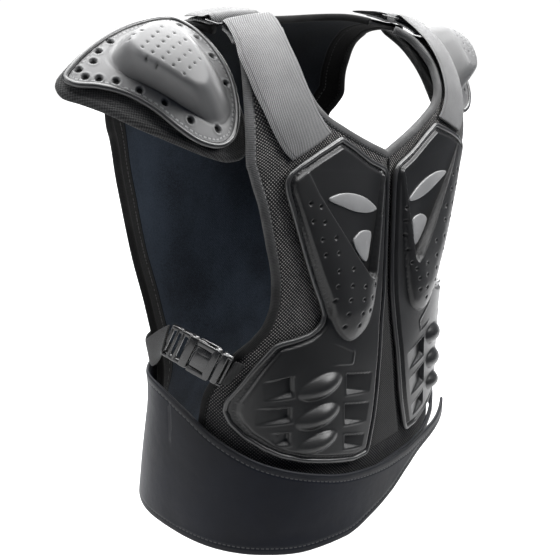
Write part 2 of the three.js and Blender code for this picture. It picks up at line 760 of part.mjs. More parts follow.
// Rows of a shape moved in from its edge by a distance
function insetRows(rows, distance) {
  const top = rows[0].z;
  const bottom = rows[rows.length - 1].z;
  const steps = 30;
  const edgeAt = (z, key, widest) => {
    let edge = null;
    for (let k = -steps; k <= steps; k += 1) {
      const away = (distance * k) / steps;
      const place = z + away;
      if (place <= top && place >= bottom) {
        const reachIn = Math.sqrt(Math.max(distance * distance - away * away, 0));
        const value = lookUp(rows, 'z', key, place) + widest * reachIn;
        if (edge === null || widest * (value - edge) > 0) edge = value;
      }
    }
    return edge;
  };
  const between = rows.map((row) => row.z).filter((z) => z < top - distance - 1 && z > bottom + distance + 1);
  return [top - distance, ...between, bottom + distance]
    .map((z) => ({ z, outer: edgeAt(z, 'outer', -1), inner: edgeAt(z, 'inner', 1) }))
    .filter((row) => row.outer - row.inner > 3);
}

const flangeInset = 2 * pipeRadius + gap + flangeClearance;

// The plate's net: edge, flange and body columns for each row
function plateNet() {
  const rows = insetRows(plateRows, flangeInset);
  const body = insetRows(plateRows, flangeInset + flangeWidth);
  const places = [];
  const triangles = [];
  const columns = 11;
  rows.forEach((row) => {
    const inside = body.find((other) => Math.abs(other.z - row.z) < 1e-6);
    const wide = row.outer - row.inner;
    const end = wide * endShare;
    const marks = [row.outer, row.outer - end, row.outer - 2 * end];
    const ends = [row.inner + 2 * end, row.inner + end, row.inner];
    if (inside) {
      marks[1] = inside.outer;
      marks[2] = inside.outer - bodySlope;
      ends[0] = inside.inner + bodySlope;
      ends[1] = inside.inner;
    }
    const between = bodyShares.map((f) => marks[2] + (ends[0] - marks[2]) * f);
    marks.splice(1, 0, (marks[0] + marks[1]) / 2);
    marks.concat(between, ends).forEach((x, j) => {
      const high = inside && j > 2 && j < 9;
      places.push([...front.locate(-x, row.z), high ? bodyTop : flangeTop]);
    });
  });
  for (let i = 0; i < rows.length - 1; i += 1) {
    for (let j = 0; j < columns - 1; j += 1) {
      const k = i * columns + j;
      triangles.push([k, k + columns, k + columns + 1], [k, k + columns + 1, k + 1]);
    }
  }
  return { places, triangles };
}

function loopOf(rows) {
  const outer = rows.map((row) => front.locate(-row.outer, row.z));
  const inner = rows.map((row) => front.locate(-row.inner, row.z)).reverse();
  return outer.concat(inner);
}

// A prism through a shape along the surface normal
function prism(surface, outline, low, high) {
  const count = outline.length;
  const points = [];
  const heights = (value, i) => (Array.isArray(value) ? value[i] : value);
  outline.forEach(([u, v], i) => points.push(lifted(surface, u, v, heights(low, i))));
  outline.forEach(([u, v], i) => points.push(lifted(surface, u, v, heights(high, i))));
  const triangles = [];
  for (let k = 0; k < count; k += 1) {
    const n = (k + 1) % count;
    triangles.push([k, n, n + count], [k, n + count, k + count]);
  }
  for (let k = 1; k < count - 1; k += 1) {
    triangles.push([0, k + 1, k], [count, count + k, count + k + 1]);
  }
  return closedForm(points, triangles);
}

const roundPlaces = (surface, place, radius, sides) => {
  const { normal, up } = slopes(surface, place[0], place[1]);
  const first = up.clone().normalize();
  const second = first.clone().cross(normal).normalize();
  return Array.from({ length: sides }, (_, k) => {
    const angle = (2 * Math.PI * k) / sides;
    const way = first.clone().multiplyScalar(Math.cos(angle));
    way.addScaledVector(second, Math.sin(angle));
    return slide(surface, place, way, radius);
  });
};

// Chest plate
const above = (rise) => bodyTop + rise;

function shieldForm() {
  const line = (key, height) => shieldRows.map((row) => front.locate(-row[key], row[height]));
  const arm = (edge, side, height) => {
    const net = rowNet(line(edge, height), line(side, height), 0, shieldShares);
    net.places.forEach((place, k) => {
      place.push(shieldRows[Math.floor(k / shieldShares.length)].rise);
    });
    return net;
  };
  const outer = arm('outer', 'wallOuter', 'z');
  const inner = arm('inner', 'wallInner', 'innerZ');
  inner.triangles = inner.triangles.map(([a, b, c]) => [a, c, b]);
  const height = ([, , share, rise]) => {
    const swell = shieldEdgeShare + (1 - shieldEdgeShare) * smooth(share / shieldShares[2]);
    return above(shieldStep + shieldRise * rise * swell);
  };
  return wall(front, joinNets([outer, inner]), bodyTop - shieldRoot, height);
}

function bumpForm({ x, z, long, high, tilt }) {
  const turn = (tilt * Math.PI) / 180;
  const ring = (share) => Array.from({ length: bumpSides }, (_, k) => {
    const angle = (2 * Math.PI * k) / bumpSides;
    const [a, b] = [long * share * Math.cos(angle), high * share * Math.sin(angle)];
    const [dx, dz] = [a * Math.cos(turn) - b * Math.sin(turn), a * Math.sin(turn) + b * Math.cos(turn)];
    return [...front.locate(-(x + dx), z + dz), share];
  });
  const net = ringNet([...front.locate(-x, z), 0], [ring(bumpMiddleShare), ring(1)]);
  const height = (place) => above(bumpRise * Math.sqrt(Math.max(1 - place[2] ** 2, 0)) - bumpSink);
  return wall(front, net, bodyTop - bumpRoot, height);
}

function cellForm({ shallow, deep }) {
  const corners = [shallow[0], deep[0], deep[1], shallow[1]];
  const places = corners.map(([x, z]) => front.locate(-x, z));
  const floor = [bodyTop - cellLip, cellFloor, cellFloor, bodyTop - cellLip];
  return prism(front, places, floor, bodyTop + cutMargin);
}

let plate = solidOf(wall(front, plateNet(), plateBack, (place) => place[2]));
plate = plate.add(solidOf(shieldForm()));
bumps.forEach((bump) => {
  plate = plate.add(solidOf(bumpForm(bump)));
});
cells.forEach((cell) => {
  plate = plate.subtract(solidOf(cellForm(cell)));
});
vents.forEach(([x, z]) => {
  const ring = roundPlaces(front, front.locate(-x, z), ventRadius, ventSides);
  plate = plate.subtract(solidOf(prism(front, ring, plateBack - cutMargin, bodyTop + shieldRise + cutMargin)));
});
addPair('chest_plate', formOf(plate), 'plastic');

const pipeLine = loopOf(insetRows(plateRows, pipeRadius));
const pipeSizes = [pipeRadius, pipeRadius, pipeSides, true];
addPair('chest_piping', bar(front, pipeLine, plateBack + pipeRadius, ...pipeSizes), 'piping');

function insertForm(outline) {
  const middle = [0, 1].map((k) => outline.reduce((sum, p) => sum + p[k], 0) / outline.length);
  const ring = outline.map(([x, z]) => front.locate(-x, z));
  const net = ringNet(front.locate(-middle[0], middle[1]), [ring]);
  return wall(front, net, bodyTop + gap, bodyTop + gap + insertThick);
}
addPair('eye_window', insertForm(eyeOutline), 'insert');
addPair('lower_window', insertForm(lowerOutline), 'insert');

// Woven strip between the plates
const stripLine = (sign) => stripRows.map((row) => front.locate(sign * row.half, row.z));
const stripLow = panelThick + gap;
const stripNet = rowNet(stripLine(-1), stripLine(1), 2);
add('centre_strip', wall(front, stripNet, stripLow, stripLow + stripThick), 'webbing');

// Webbing that runs over a torso side, round a bar and back under itself
function foldedWeb(surface, rows, returnFrom, wide) {
  const at = (key, v) => lookUp(rows, 'at', key, v);
  const last = rows[rows.length - 1];
  const half = (last.rise - returnRise) / 2;
  const middleRise = returnRise + half;
  const lay = rows.map((row) => ({ ...row, ahead: 0 }));
  for (let k = 1; k < foldStops; k += 1) {
    const angle = (Math.PI * k) / foldStops;
    const [rise, ahead] = [middleRise + half * Math.cos(angle), half * Math.sin(angle)];
    lay.push({ at: last.at, rise, ahead, slant: last.slant });
  }
  [last.at, (last.at + returnFrom) / 2, returnFrom].forEach((place) => {
    lay.push({ at: place, rise: returnRise, ahead: 0, slant: last.slant });
  });
  const spot = (f, g) => {
    const i = Math.min(Math.floor(g), lay.length - 2);
    const mix = (key) => lay[i][key] + (lay[i + 1][key] - lay[i][key]) * (g - i);
    const station = mix('at');
    const x = at('inner', station) + (at('outer', station) - at('inner', station)) * f;
    const v = station + mix('slant') * (0.5 - f);
    const u = surface.turnAt(-x, v);
    const { up, normal } = slopes(surface, u, v);
    const spotHere = surface.point(u, v).addScaledVector(normal, mix('rise'));
    return spotHere.addScaledVector(up.normalize(), mix('ahead'));
  };
  const points = [];
  const columns = wide + 1;
  lay.forEach((_, i) => {
    for (let j = 0; j < columns; j += 1) {
      const before = spot(j / wide, Math.max(i - 1, 0));
      const after = spot(j / wide, Math.min(i + 1, lay.length - 1));
      const across = spot(Math.min(j + 1, wide) / wide, i).sub(spot(Math.max(j - 1, 0) / wide, i));
      const normal = after.sub(before).cross(across).normalize();
      const here = spot(j / wide, i);
      points.push(here.clone().addScaledVector(normal, webThick / 2));
      points.push(here.clone().addScaledVector(normal, -webThick / 2));
    }
  });
  const triangles = [];
  const quad = (a, b, c, d) => triangles.push([a, b, c], [a, c, d]);
  const id = (i, j, k) => (i * columns + j) * 2 + k;
  for (let i = 0; i < lay.length - 1; i += 1) {
    for (let j = 0; j < wide; j += 1) {
      quad(id(i, j, 0), id(i + 1, j, 0), id(i + 1, j + 1, 0), id(i, j + 1, 0));
      quad(id(i, j, 1), id(i, j + 1, 1), id(i + 1, j + 1, 1), id(i + 1, j, 1));
    }
    quad(id(i, 0, 0), id(i, 0, 1), id(i + 1, 0, 1), id(i + 1, 0, 0));
    quad(id(i, wide, 0), id(i + 1, wide, 0), id(i + 1, wide, 1), id(i, wide, 1));
  }
  const end = lay.length - 1;
  for (let j = 0; j < wide; j += 1) {
    quad(id(0, j, 0), id(0, j + 1, 0), id(0, j + 1, 1), id(0, j, 1));
    quad(id(end, j, 0), id(end, j, 1), id(end, j + 1, 1), id(end, j + 1, 0));
  }
  return closedForm(points, triangles);
}
addPair('shoulder_strap', foldedWeb(front, strapRows, strapReturnFrom, webColumns), 'webbing');
addPair('yoke_loop', foldedWeb(back, loopRows, loopReturnFrom, webColumns), 'webbing');

// Ring whose two bars lie in the folds of the strap and the loop
function foldSpot(surface, rows, share) {
  const last = rows[rows.length - 1];
  const x = last.inner + (last.outer - last.inner) * share;
  const station = last.at + last.slant * (0.5 - share);
  return lifted(surface, surface.turnAt(-x, station), station, (last.rise + returnRise) / 2);
}
function ringForm() {
  const [near, far] = [foldSpot(front, strapRows, 0.5), foldSpot(back, loopRows, 0.5)];
  const alongFold = (surface, rows) => foldSpot(surface, rows, 0).sub(foldSpot(surface, rows, 1));
  const lengthwise = alongFold(front, strapRows).add(alongFold(back, loopRows)).normalize();
  const between = far.clone().sub(near);
  const up = lengthwise.clone().cross(between).normalize();
  const across = up.clone().cross(lengthwise).normalize();
  const deep = between.dot(across);
  const outer = Manifold.cube([2 * ringHalfLength, deep + 2 * ringBar, 2 * ringBar], true);
  const hole = Manifold.cube([2 * ringHalfLength - 4 * ringBar, deep - 2 * ringBar, 8 * ringBar], true);
  const basis = new THREE.Matrix4().makeBasis(lengthwise, across, up);
  basis.setPosition(near.add(far).multiplyScalar(0.5));
  return formOf(outer.subtract(hole).transform(basis.elements));
}
addPair('strap_ring', ringForm(), 'buckle');

// Evenly spaced places along a closed smooth curve through the given ones
function roundLine(outline, count) {
  const knots = outline.map(([p, q]) => new THREE.Vector3(p, q, 0));
  const curve = new THREE.CatmullRomCurve3(knots, true, 'centripetal');
  return curve.getSpacedPoints(count).slice(0, count).map((spot) => [spot.x, spot.y]);
}

// Shoulder pad and cap: rings inside the dome's foot, one halfway out and the outline
function domeNet(outline, shares) {
  const between = (share) => outline.map((place) => {
    const [x, y] = [place[0] - domeCentre[0], place[1] - domeCentre[1]];
    const angle = Math.atan2(y, x);
    const away = Math.hypot(x, y);
    const foot = Math.min(reach(domeFoot, angle), away * domeLimit);
    const distance = share <= 1 ? foot * share : foot + (away - foot) * (share - 1);
    return [domeCentre[0] + Math.cos(angle) * distance, domeCentre[1] + Math.sin(angle) * distance];
  });
  return ringNet(domeCentre, shares.map(between));
}
const capLine = roundLine(capOutline, capTurns);
const capPipeLine = sideways(shoulder, capLine, pipeRadius, true);
const capEdge = sideways(shoulder, capLine, 2 * pipeRadius + gap, true);
const capNet = domeNet(capEdge, domeShares);
const padNet = domeNet(roundLine(padOutline, capTurns), domeShares);
let cap = solidOf(wall(shoulder, capNet, 0, capThick));
rimHoles.forEach(([p, q]) => {
  const ring = roundPlaces(shoulder, [p, q], rimHoleRadius, rimHoleSides);
  cap = cap.subtract(solidOf(prism(shoulder, ring, -cutMargin, capThick + cutMargin)));
});
addPair('shoulder_cap', formOf(cap), 'cap');
addPair('shoulder_pad', wall(shoulder, padNet, -padRelief - padThick, -padRelief), 'tape');
addPair('cap_piping', bar(shoulder, capPipeLine, pipeRadius, ...pipeSizes), 'piping');

// Waist belt
const girth = {
  point: (u, v) => {
    const z = v;
    const turn = Math.atan2(Math.sin(u), Math.cos(u));
    const isFront = Math.abs(turn) <= Math.PI / 2;
    const rows = isFront ? frontRows : backRows;
    const surface = isFront ? front : back;
    let low = 0;
    let high = 8;
    for (let k = 0; k < 30; k += 1) {
      const middle = (low + high) / 2;
      if (tableAt(rows, 'z', middle) < Math.min(z, waistHeight)) low = middle;
      else high = middle;
    }
    const flare = 1 - Math.min(z - hemHeight, 0) * hemFlare;
    const place = surface.point(isFront ? turn : Math.PI - turn, low);
    place.z = z;
    return place.multiply(new THREE.Vector3(flare, flare, 1));
  },
  step: [0.002, 0.5],
  flip: 1,
};
function beltForm() {
  const columns = 3;
  const first = beltRows[0].turn;
  const span = beltRows[beltRows.length - 1].turn - first;
  const places = [];
  const stops = Array.from({ length: beltStops + 1 }, (_, k) => first + (span * k) / beltStops);
  stops.forEach((turn) => {
    const top = lookUp(beltRows, 'turn', 'top', turn);
    const bottom = lookUp(beltRows, 'turn', 'bottom', turn);
    for (let j = 0; j <= columns; j += 1) {
      const u = (turn * Math.PI) / 180;
      places.push([u, bottom + ((top - bottom) * j) / columns, (turn - first) / span]);
    }
  });
  const triangles = [];
  for (let i = 0; i < stops.length - 1; i += 1) {
    for (let j = 0; j < columns; j += 1) {
      const k = i * (columns + 1) + j;
      triangles.push([k, k + columns + 1, k + columns + 2], [k, k + columns + 2, k + 1]);
    }
  }
  const tipShare = (place) => smooth((place[2] - beltTipFrom) / (1 - beltTipFrom));
  const low = (place) => beltRise + beltWind * place[2] + beltTipRise * tipShare(place);
  return wall(girth, { places, triangles }, low, (place) => low(place) + beltThick);
}
add('waist_belt', beltForm(), 'belt');

// Buckle: socket towards the front, plug towards the back
const buckleSide = buckleOut.clone().cross(buckleAlong).normalize();
const buckleFace = buckleAlong.clone().cross(buckleSide).normalize();
function boxAt(along, across, out, sizes) {
  const basis = new THREE.Matrix4().makeBasis(buckleAlong, buckleSide, buckleFace);
  basis.setPosition(buckleMiddle);
  const box = new THREE.BoxGeometry(...sizes).translate(along, across, out).applyMatrix4(basis);
  const position = box.getAttribute('position');
  const points = [];
  for (let i = 0; i < position.count; i += 1) {
    points.push(new THREE.Vector3().fromBufferAttribute(position, i));
  }
  const index = box.getIndex().array;
  const triangles = [];
  for (let i = 0; i < index.length; i += 3) triangles.push([index[i], index[i + 1], index[i + 2]]);
  return solidOf({ points, triangles });
}
const slotWidth = sideWebWidth + 2;
const cutDepth = 2 * buckleThick;
const socket = boxAt(-socketLong / 2 - gap / 2, 0, 0, [socketLong, buckleWidth, buckleThick])
  .subtract(boxAt(-socketLong + slotFromEnd, 0, 0, [slotLong, slotWidth, cutDepth]))
  .subtract(boxAt(-prongWindow.along, buckleWidth / 2, 0, [prongWindow.long, prongWindow.wide, cutDepth]))
  .subtract(boxAt(-prongWindow.along, -buckleWidth / 2, 0, [prongWindow.long, prongWindow.wide, cutDepth]));
const plug = boxAt(plugLong / 2 + gap / 2, 0, 0, [plugLong, buckleWidth, buckleThick - plugThinner])
  .subtract(boxAt(plugLong - slotFromEnd, 0, 0, [slotLong, slotWidth, cutDepth]))
  .subtract(boxAt(plugLong - secondSlotFromEnd, 0, 0, [slotLong, slotWidth, cutDepth]));
addPair('buckle_socket', formOf(socket), 'buckle');
addPair('buckle_plug', formOf(plug), 'buckle');

// Flat webbing through spots, each with the direction across it and the one it faces
function flatWeb(spots, wide, thick) {
  const points = [];
  spots.forEach(({ spot, across, face }) => {
    [[-1, -1], [1, -1], [1, 1], [-1, 1]].forEach(([a, b]) => {
      points.push(spot.clone()
        .addScaledVector(across, (a * wide) / 2)
        .addScaledVector(face, (b * thick) / 2));
    });
  });
  const triangles = [];
  for (let i = 0; i < spots.length - 1; i += 1) {
    for (let k = 0; k < 4; k += 1) {
      const [a, b] = [i * 4 + k, i * 4 + ((k + 1) % 4)];
      triangles.push([a, b, b + 4], [a, b + 4, a + 4]);
    }
  }
  const end = (spots.length - 1) * 4;
  triangles.push([0, 2, 1], [0, 3, 2], [end, end + 1, end + 2], [end, end + 2, end + 3]);
  return closedForm(points, triangles);
}
function sideWeb(surface, spots, along, face) {
  const spot = buckleMiddle.clone().addScaledVector(buckleAlong, along);
  const start = { spot, across: buckleSide, face };
  const rest = spots.map(({ topX, topZ, lowX, lowZ, rise }) => {
    const top = surface.locate(topX, topZ);
    const low = surface.locate(lowX, lowZ);
    const [u, v] = [(top[0] + low[0]) / 2, (top[1] + low[1]) / 2];
    const across = surface.point(...top).sub(surface.point(...low)).normalize();
    return { spot: lifted(surface, u, v, rise), across, face: slopes(surface, u, v).normal };
  });
  rest.forEach((one) => {
    if (one.across.dot(buckleSide) < 0) one.across.negate();
    if (one.across.clone().cross(one.face).dot(buckleSide.clone().cross(buckleFace)) < 0) one.face.negate();
  });
  return flatWeb([start, ...rest], sideWebWidth, webThick);
}
const webStart = socketLong + 2 * gap + webThick / 2;
addPair('side_strap_front', sideWeb(front, frontWebSpots, -webStart, buckleAlong.clone().negate()), 'webbing');
addPair('side_strap_back', sideWeb(back, backWebSpots, plugLong + 2 * gap, buckleFace), 'webbing');

export default group;
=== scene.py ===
import bpy
import mathutils
import math
import numpy as np
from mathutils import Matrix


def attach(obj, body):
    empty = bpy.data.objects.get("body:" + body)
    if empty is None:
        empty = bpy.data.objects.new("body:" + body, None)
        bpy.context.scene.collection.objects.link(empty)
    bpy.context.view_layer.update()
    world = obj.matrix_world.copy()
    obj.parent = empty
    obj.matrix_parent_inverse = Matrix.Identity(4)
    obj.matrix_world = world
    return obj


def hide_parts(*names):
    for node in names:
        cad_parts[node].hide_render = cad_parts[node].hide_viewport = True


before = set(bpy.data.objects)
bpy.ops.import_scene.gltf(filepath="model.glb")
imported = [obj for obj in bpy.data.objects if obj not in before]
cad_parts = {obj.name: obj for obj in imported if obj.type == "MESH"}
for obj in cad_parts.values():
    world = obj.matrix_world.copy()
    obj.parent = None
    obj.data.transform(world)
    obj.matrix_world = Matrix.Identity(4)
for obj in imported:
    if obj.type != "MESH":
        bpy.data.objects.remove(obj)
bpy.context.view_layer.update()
scene = bpy.context.scene
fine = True
mm = 0.001

# camera, light, floor
view = {"place": (-0.700, -0.515, 0.012), "forward": (0.74143, 0.61419, -0.27028), "lens": 57.86}
floorHeight = -0.62


def placeCamera():
    # right = forward x up, the picture's up = right x forward; the camera looks along its own -z
    forward = np.array(view["forward"]) / np.linalg.norm(view["forward"])
    right = np.cross(forward, (0, 0, 1))
    right /= np.linalg.norm(right)
    up = np.cross(right, forward)
    camera = bpy.data.objects.new("camera", bpy.data.cameras.new("camera"))
    scene.collection.objects.link(camera)
    turn = np.eye(4)
    turn[:3, 0], turn[:3, 1], turn[:3, 2], turn[:3, 3] = right, up, -forward, view["place"]
    camera.matrix_world = mathutils.Matrix(turn.tolist())
    camera.data.lens = view["lens"]
    camera.data.sensor_width = 36
    camera.data.clip_end = 50
    scene.camera = camera


def addLight(name, place, aim, power, size):
    # an area light at place whose own +z points back from aim; size is its width and height in metres
    light = bpy.data.objects.new(name, bpy.data.lights.new(name, "AREA"))
    scene.collection.objects.link(light)
    back = np.array(place) - np.array(aim)
    back /= np.linalg.norm(back)
    side = np.cross((0, 0, 1), back)
    side /= np.linalg.norm(side)
    turn = np.eye(4)
    turn[:3, 0], turn[:3, 1], turn[:3, 2], turn[:3, 3] = side, np.cross(back, side), back, place
    light.matrix_world = mathutils.Matrix(turn.tolist())
    light.data.energy = power
    light.data.shape = "RECTANGLE"
    light.data.size, light.data.size_y = size


# shader helpers
class Wire:
    # one output of a node; arithmetic on it adds Math nodes
    def __init__(self, tree, socket):
        self.tree, self.socket = tree, socket

    def make(self, kind, settings=None, inputs=(), output=0):
        node = self.tree.nodes.new(kind)
        for key, value in (settings or {}).items():
            if key == "stops":
                ramp = node.color_ramp
                while len(ramp.elements) < len(value):
                    ramp.elements.new(0.5)
                for element, (place, colour) in zip(ramp.elements, value):
                    element.position, element.color = place, colour
            else:
                setattr(node, key, value)
        pairs = inputs.items() if isinstance(inputs, dict) else enumerate(inputs)
        for key, value in pairs:
            if isinstance(value, Wire):
                self.tree.links.new(value.socket, node.inputs[key])
            else:
                node.inputs[key].default_value = value
        return Wire(self.tree, node.outputs[output])

    def math(self, operation, *others):
        return self.make("ShaderNodeMath", {"operation": operation}, (self, *others))

    def __add__(self, other):
        return self.math("ADD", other)

    def __radd__(self, other):
        return self.math("ADD", other)

    def __sub__(self, other):
        return self.math("SUBTRACT", other)

    def __rsub__(self, other):
        return self.make("ShaderNodeMath", {"operation": "SUBTRACT"}, (other, self))

    def __mul__(self, other):
        return self.math("MULTIPLY", other)

    def __rmul__(self, other):
        return self.math("MULTIPLY", other)

    def __truediv__(self, other):
        return self.math("DIVIDE", other)

    def __rtruediv__(self, other):
        return self.make("ShaderNodeMath", {"operation": "DIVIDE"}, (other, self))

    def step(self, low, high):
        # smooth rise from 0 at low to 1 at high
        settings = {"interpolation_type": "SMOOTHSTEP"}
        return self.make("ShaderNodeMapRange", settings, {0: self, 1: low, 2: high, 3: 0.0, 4: 1.0})


def grey(value, tint=(1, 1, 1)):
    # a colour: the value times the tint, opaque
    return (value * tint[0], value * tint[1], value * tint[2], 1)


class Finish:
    # a material with its Principled shader and the usual coordinates
    def __init__(self, name, **constants):
        self.material = bpy.data.materials.new(name)
        self.material.use_nodes = True
        self.tree = self.material.node_tree
        self.shader = self.tree.nodes["Principled BSDF"]
        for key, value in constants.items():
            self.shader.inputs[key.replace("_", " ")].default_value = value
        self.root = Wire(self.tree, None)
        self.place = self.root.make("ShaderNodeTexCoord", output=3)
        self.uv = self.root.make("ShaderNodeTexCoord", output=2)

    def parts(self, vector):
        return [self.root.make("ShaderNodeSeparateXYZ", None, (vector,), k) for k in range(3)]

    def noise(self, scale, detail=3.0, rough=0.55, vector=None):
        inputs = {"Vector": vector or self.place, "Scale": scale, "Detail": detail, "Roughness": rough}
        return self.root.make("ShaderNodeTexNoise", None, inputs, 0)

    def attribute(self, name):
        return self.root.make("ShaderNodeAttribute", {"attribute_name": name}, (), 2)

    def mix(self, factor, first, second):
        return self.root.make("ShaderNodeMix", {"data_type": "RGBA"}, {0: factor, 6: first, 7: second}, 2)

    def finish(self, colour=None, rough=None, bumps=()):
        # bumps: (height wire, strength, distance), laid one on another
        normal = None
        for height, strength, distance in bumps:
            inputs = {"Height": height, "Strength": strength, "Distance": distance}
            if normal is not None:
                inputs["Normal"] = normal
            normal = self.root.make("ShaderNodeBump", None, inputs)
        for key, wire in (("Base Color", colour), ("Roughness", rough), ("Normal", normal)):
            if wire is not None:
                self.tree.links.new(wire.socket, self.shader.inputs[key])
        return self.material


# tables, in millimetres
# z, line, half, depth, corner from the hem up
frontRows = np.array([
    (-440, -64.5, 168, 110.5, 2.5), (-370, -64.5, 168, 110.5, 2.5), (-300, -63, 168, 109, 2.6),
    (-250, -60, 171, 106, 2.9), (-200, -59, 178, 105, 3.4), (-150, -59, 186, 105, 4),
    (-105, -59, 190, 105, 4.6), (-75, -58, 190, 104, 4.8), (-48, -53, 190, 100, 4.8),
    (-25, -43, 190, 94, 4.8), (-8, -31, 190, 86, 4.8), (4, -18, 190, 76, 4.8),
    (11, -5, 190, 66, 4.8), (16, 8, 190, 60, 4.8)])
backRows = np.array([
    (-440, 158, 168, 112, 2.4), (-400, 147, 168, 101, 2.4), (-370, 137, 168, 91, 2.4),
    (-330, 127, 168, 81, 2.3), (-300, 129, 168, 83, 2.3), (-250, 146, 171, 100, 2.35),
    (-200, 158, 178, 112, 2.4), (-150, 161, 186, 115, 2.5), (-118, 162, 189, 116, 2.6),
    (-80, 157, 190, 111, 2.9), (-45, 146, 190, 100, 3.5), (-14, 128, 190, 86, 4.4),
    (8, 104, 190, 76, 4.8), (18, 78, 190, 66, 4.8), (21, 50, 190, 60, 4.8), (18, 26, 190, 60, 4.8),
    (12, 9, 190, 60, 4.8)])
frontEdge = {  # station, neck, arm
    "neck": [(11.6, 87), (10.9, 95), (10.2, 100), (9.1, 104), (8.2, 99), (7.65, 87), (7.26, 69),
             (6.9, 48), (6.55, 24), (6.25, 0)],
    "arm": [(11.6, 141), (10.9, 148), (10.2, 154), (9.1, 162), (8.2, 167), (7.65, 169), (7.26, 170),
            (6.9, 170.5), (6.55, 170.5), (6.25, 169), (5.9, 166), (5.45, 159.5), (4.8, 151),
            (4.15, 142.5), (3.7, 140.5), (3.35, 143), (3.08, 149), (2.8, 157), (2.4, 162.5),
            (1.9, 165.5), (1.2, 166.5), (0.25, 166.5)]}
backEdge = {
    "neck": [(15.2, 87), (14.7, 83), (14.2, 78), (13.6, 66), (13.2, 46), (13, 24), (12.9, 0)],
    "arm": [(15.2, 146), (14.7, 148), (14.2, 150), (13.6, 153), (13.2, 156), (13, 158), (12.9, 160),
            (12, 168), (11, 175), (10.1, 176), (9.5, 170), (9, 163), (8, 157), (7, 152), (6, 145),
            (5, 139), (4, 141), (3, 151), (2, 160), (0.3, 165)]}
plateRows = np.array([  # z, outer, inner
    (-78, 80, 76), (-86, 107, 59), (-94, 128, 45), (-100, 139, 34), (-105, 142.5, 22),
    (-107.5, 142.8, 15.5), (-110, 143, 10), (-114, 142.2, 6.5), (-119, 141, 4.5), (-135, 134.5, 3.5),
    (-158, 125.5, 3.5), (-181, 116, 3.5), (-201, 107.5, 3.8), (-221, 98, 4.5), (-232, 94, 5.3),
    (-238, 95.5, 6), (-242, 100, 6.4), (-245, 106, 6.8), (-247, 117, 7.1), (-248.5, 131, 7.4),
    (-251, 136, 7.8), (-254.5, 138.5, 8.3), (-261.5, 142.5, 9.2), (-269, 146.5, 10), (-277, 150, 11),
    (-303, 159.5, 15), (-314, 160.5, 16.5), (-326, 158, 18), (-339, 151.5, 20), (-352, 140, 22.5),
    (-361, 128.5, 25), (-370, 110, 27.5), (-377, 88, 29.5), (-382, 70, 31.5), (-386, 54, 34.5)])
shieldOutline = np.array([
    (123, -99), (134, -103), (137, -110), (130.5, -133.5), (119, -162.5), (106.6, -191.5), (94, -218),
    (85, -237), (78, -249), (69, -259), (59.5, -263), (50, -261), (39, -253), (32.5, -239),
    (27.5, -217.5), (24, -194), (20, -168), (16, -135), (13.5, -119), (15, -113), (28.6, -111),
    (60, -107), (95, -102)])
shieldLift = np.array([(-98, 0.05), (-120, 0.2), (-140, 0.42), (-160, 0.64), (-180, 0.84),
                       (-207, 1), (-230, 1), (-245, 0.85), (-263, 0.6)])
recess = np.array([(124, -97), (109.5, -120), (94, -140), (78.5, -160), (63, -180), (44, -203),
                   (39, -206.5), (35.7, -203), (31, -180), (27, -160), (23.5, -140), (20, -120),
                   (17, -112), (50, -105), (95, -97)])
vents = np.array([
    (120, -127), (109, -131), (117, -142), (105, -145), (107, -159), (92, -160.5), (103, -173),
    (89, -174), (88, -190), (70, -192), (88, -204), (71, -207), (53, -212), (88, -217), (72, -220),
    (54, -224), (73, -233), (55, -237), (41, -225), (74, -245), (57, -248), (43, -237), (21, -152),
    (21.5, -165), (22, -179), (26, -194), (30, -207), (36, -214)])
bumpRows = np.array([(93.5, -298.5, 22, 11.3, -9), (95.5, -327, 21.5, 10.8, -9), (96, -352.5, 19.5, 9.4, -9)])
cells = [  # shallow pair, deep pair, each with its upper corner first
    [(140, -284.5), (139, -302.5), (119, -282.5), (118.5, -302.5)],
    [(145, -310), (142.5, -326), (120, -312.5), (120, -326.5)],
    [(138, -334.5), (131.5, -348), (121, -337), (121, -349)],
    [(31, -302.5), (33.5, -320), (66, -293.5), (66, -314)],
    [(35, -331), (38.5, -348.5), (68, -322.5), (68, -343.5)],
    [(42, -361), (43, -373), (68, -353.5), (68, -368)]]
chevron = [(86, -257), (56, -275), (58.5, -286), (92, -278)]
eyeOutline = [(97, -127), (85, -124.5), (68, -126), (50, -131.5), (36, -139), (28, -146),
              (36, -147.5), (56, -144.5), (79, -136)]
lowerOutline = [(62, -170), (56, -164.5), (49, -162.5), (36, -166), (37, -178), (42, -192)]
stripRows = np.array([(-104, 0.9), (-150, 1.9), (-230, 3.2), (-262, 6.6), (-300, 11.5),
                      (-340, 16.5), (-384, 26)])
# station, inner, outer, rise, slant
strapRows = np.array([(6.8, 88, 135, 7.4, 0.6), (7.15, 95, 144, 8, 0.45), (8, 106, 153, 9, 0.2),
                      (9, 109, 158, 10, 0), (10, 108, 158, 11, 0), (11, 103, 153, 12.4, 0),
                      (11.8, 99, 149, 14.6, -0.1), (12.25, 98.5, 147.5, 15.8, -0.16)])
loopRows = np.array([(14, 98, 146, 10.4, 0), (14.7, 98, 147, 12, 0), (15.35, 98, 148, 15.6, 0.5)])
domeFoot = np.array([
    (-20, 29), (-9, 33), (2, 31), (24, 19), (44, 8), (60, -4), (65, -17), (59, -30), (43, -37),
    (14, -44), (-9, -45), (-25, -40), (-33, -20), (-30, 8)])
capOutline = [(-26, 66.5), (-15, 65.5), (-2, 55), (15, 43), (34, 33.5), (55, 24.5), (70, 13.5), (79, -2.5),
              (78.5, -18), (68, -34), (42, -52), (14, -61), (-18, -64), (-36, -56), (-40.5, -22), (-40, 8),
              (-37, 32), (-32, 54)]
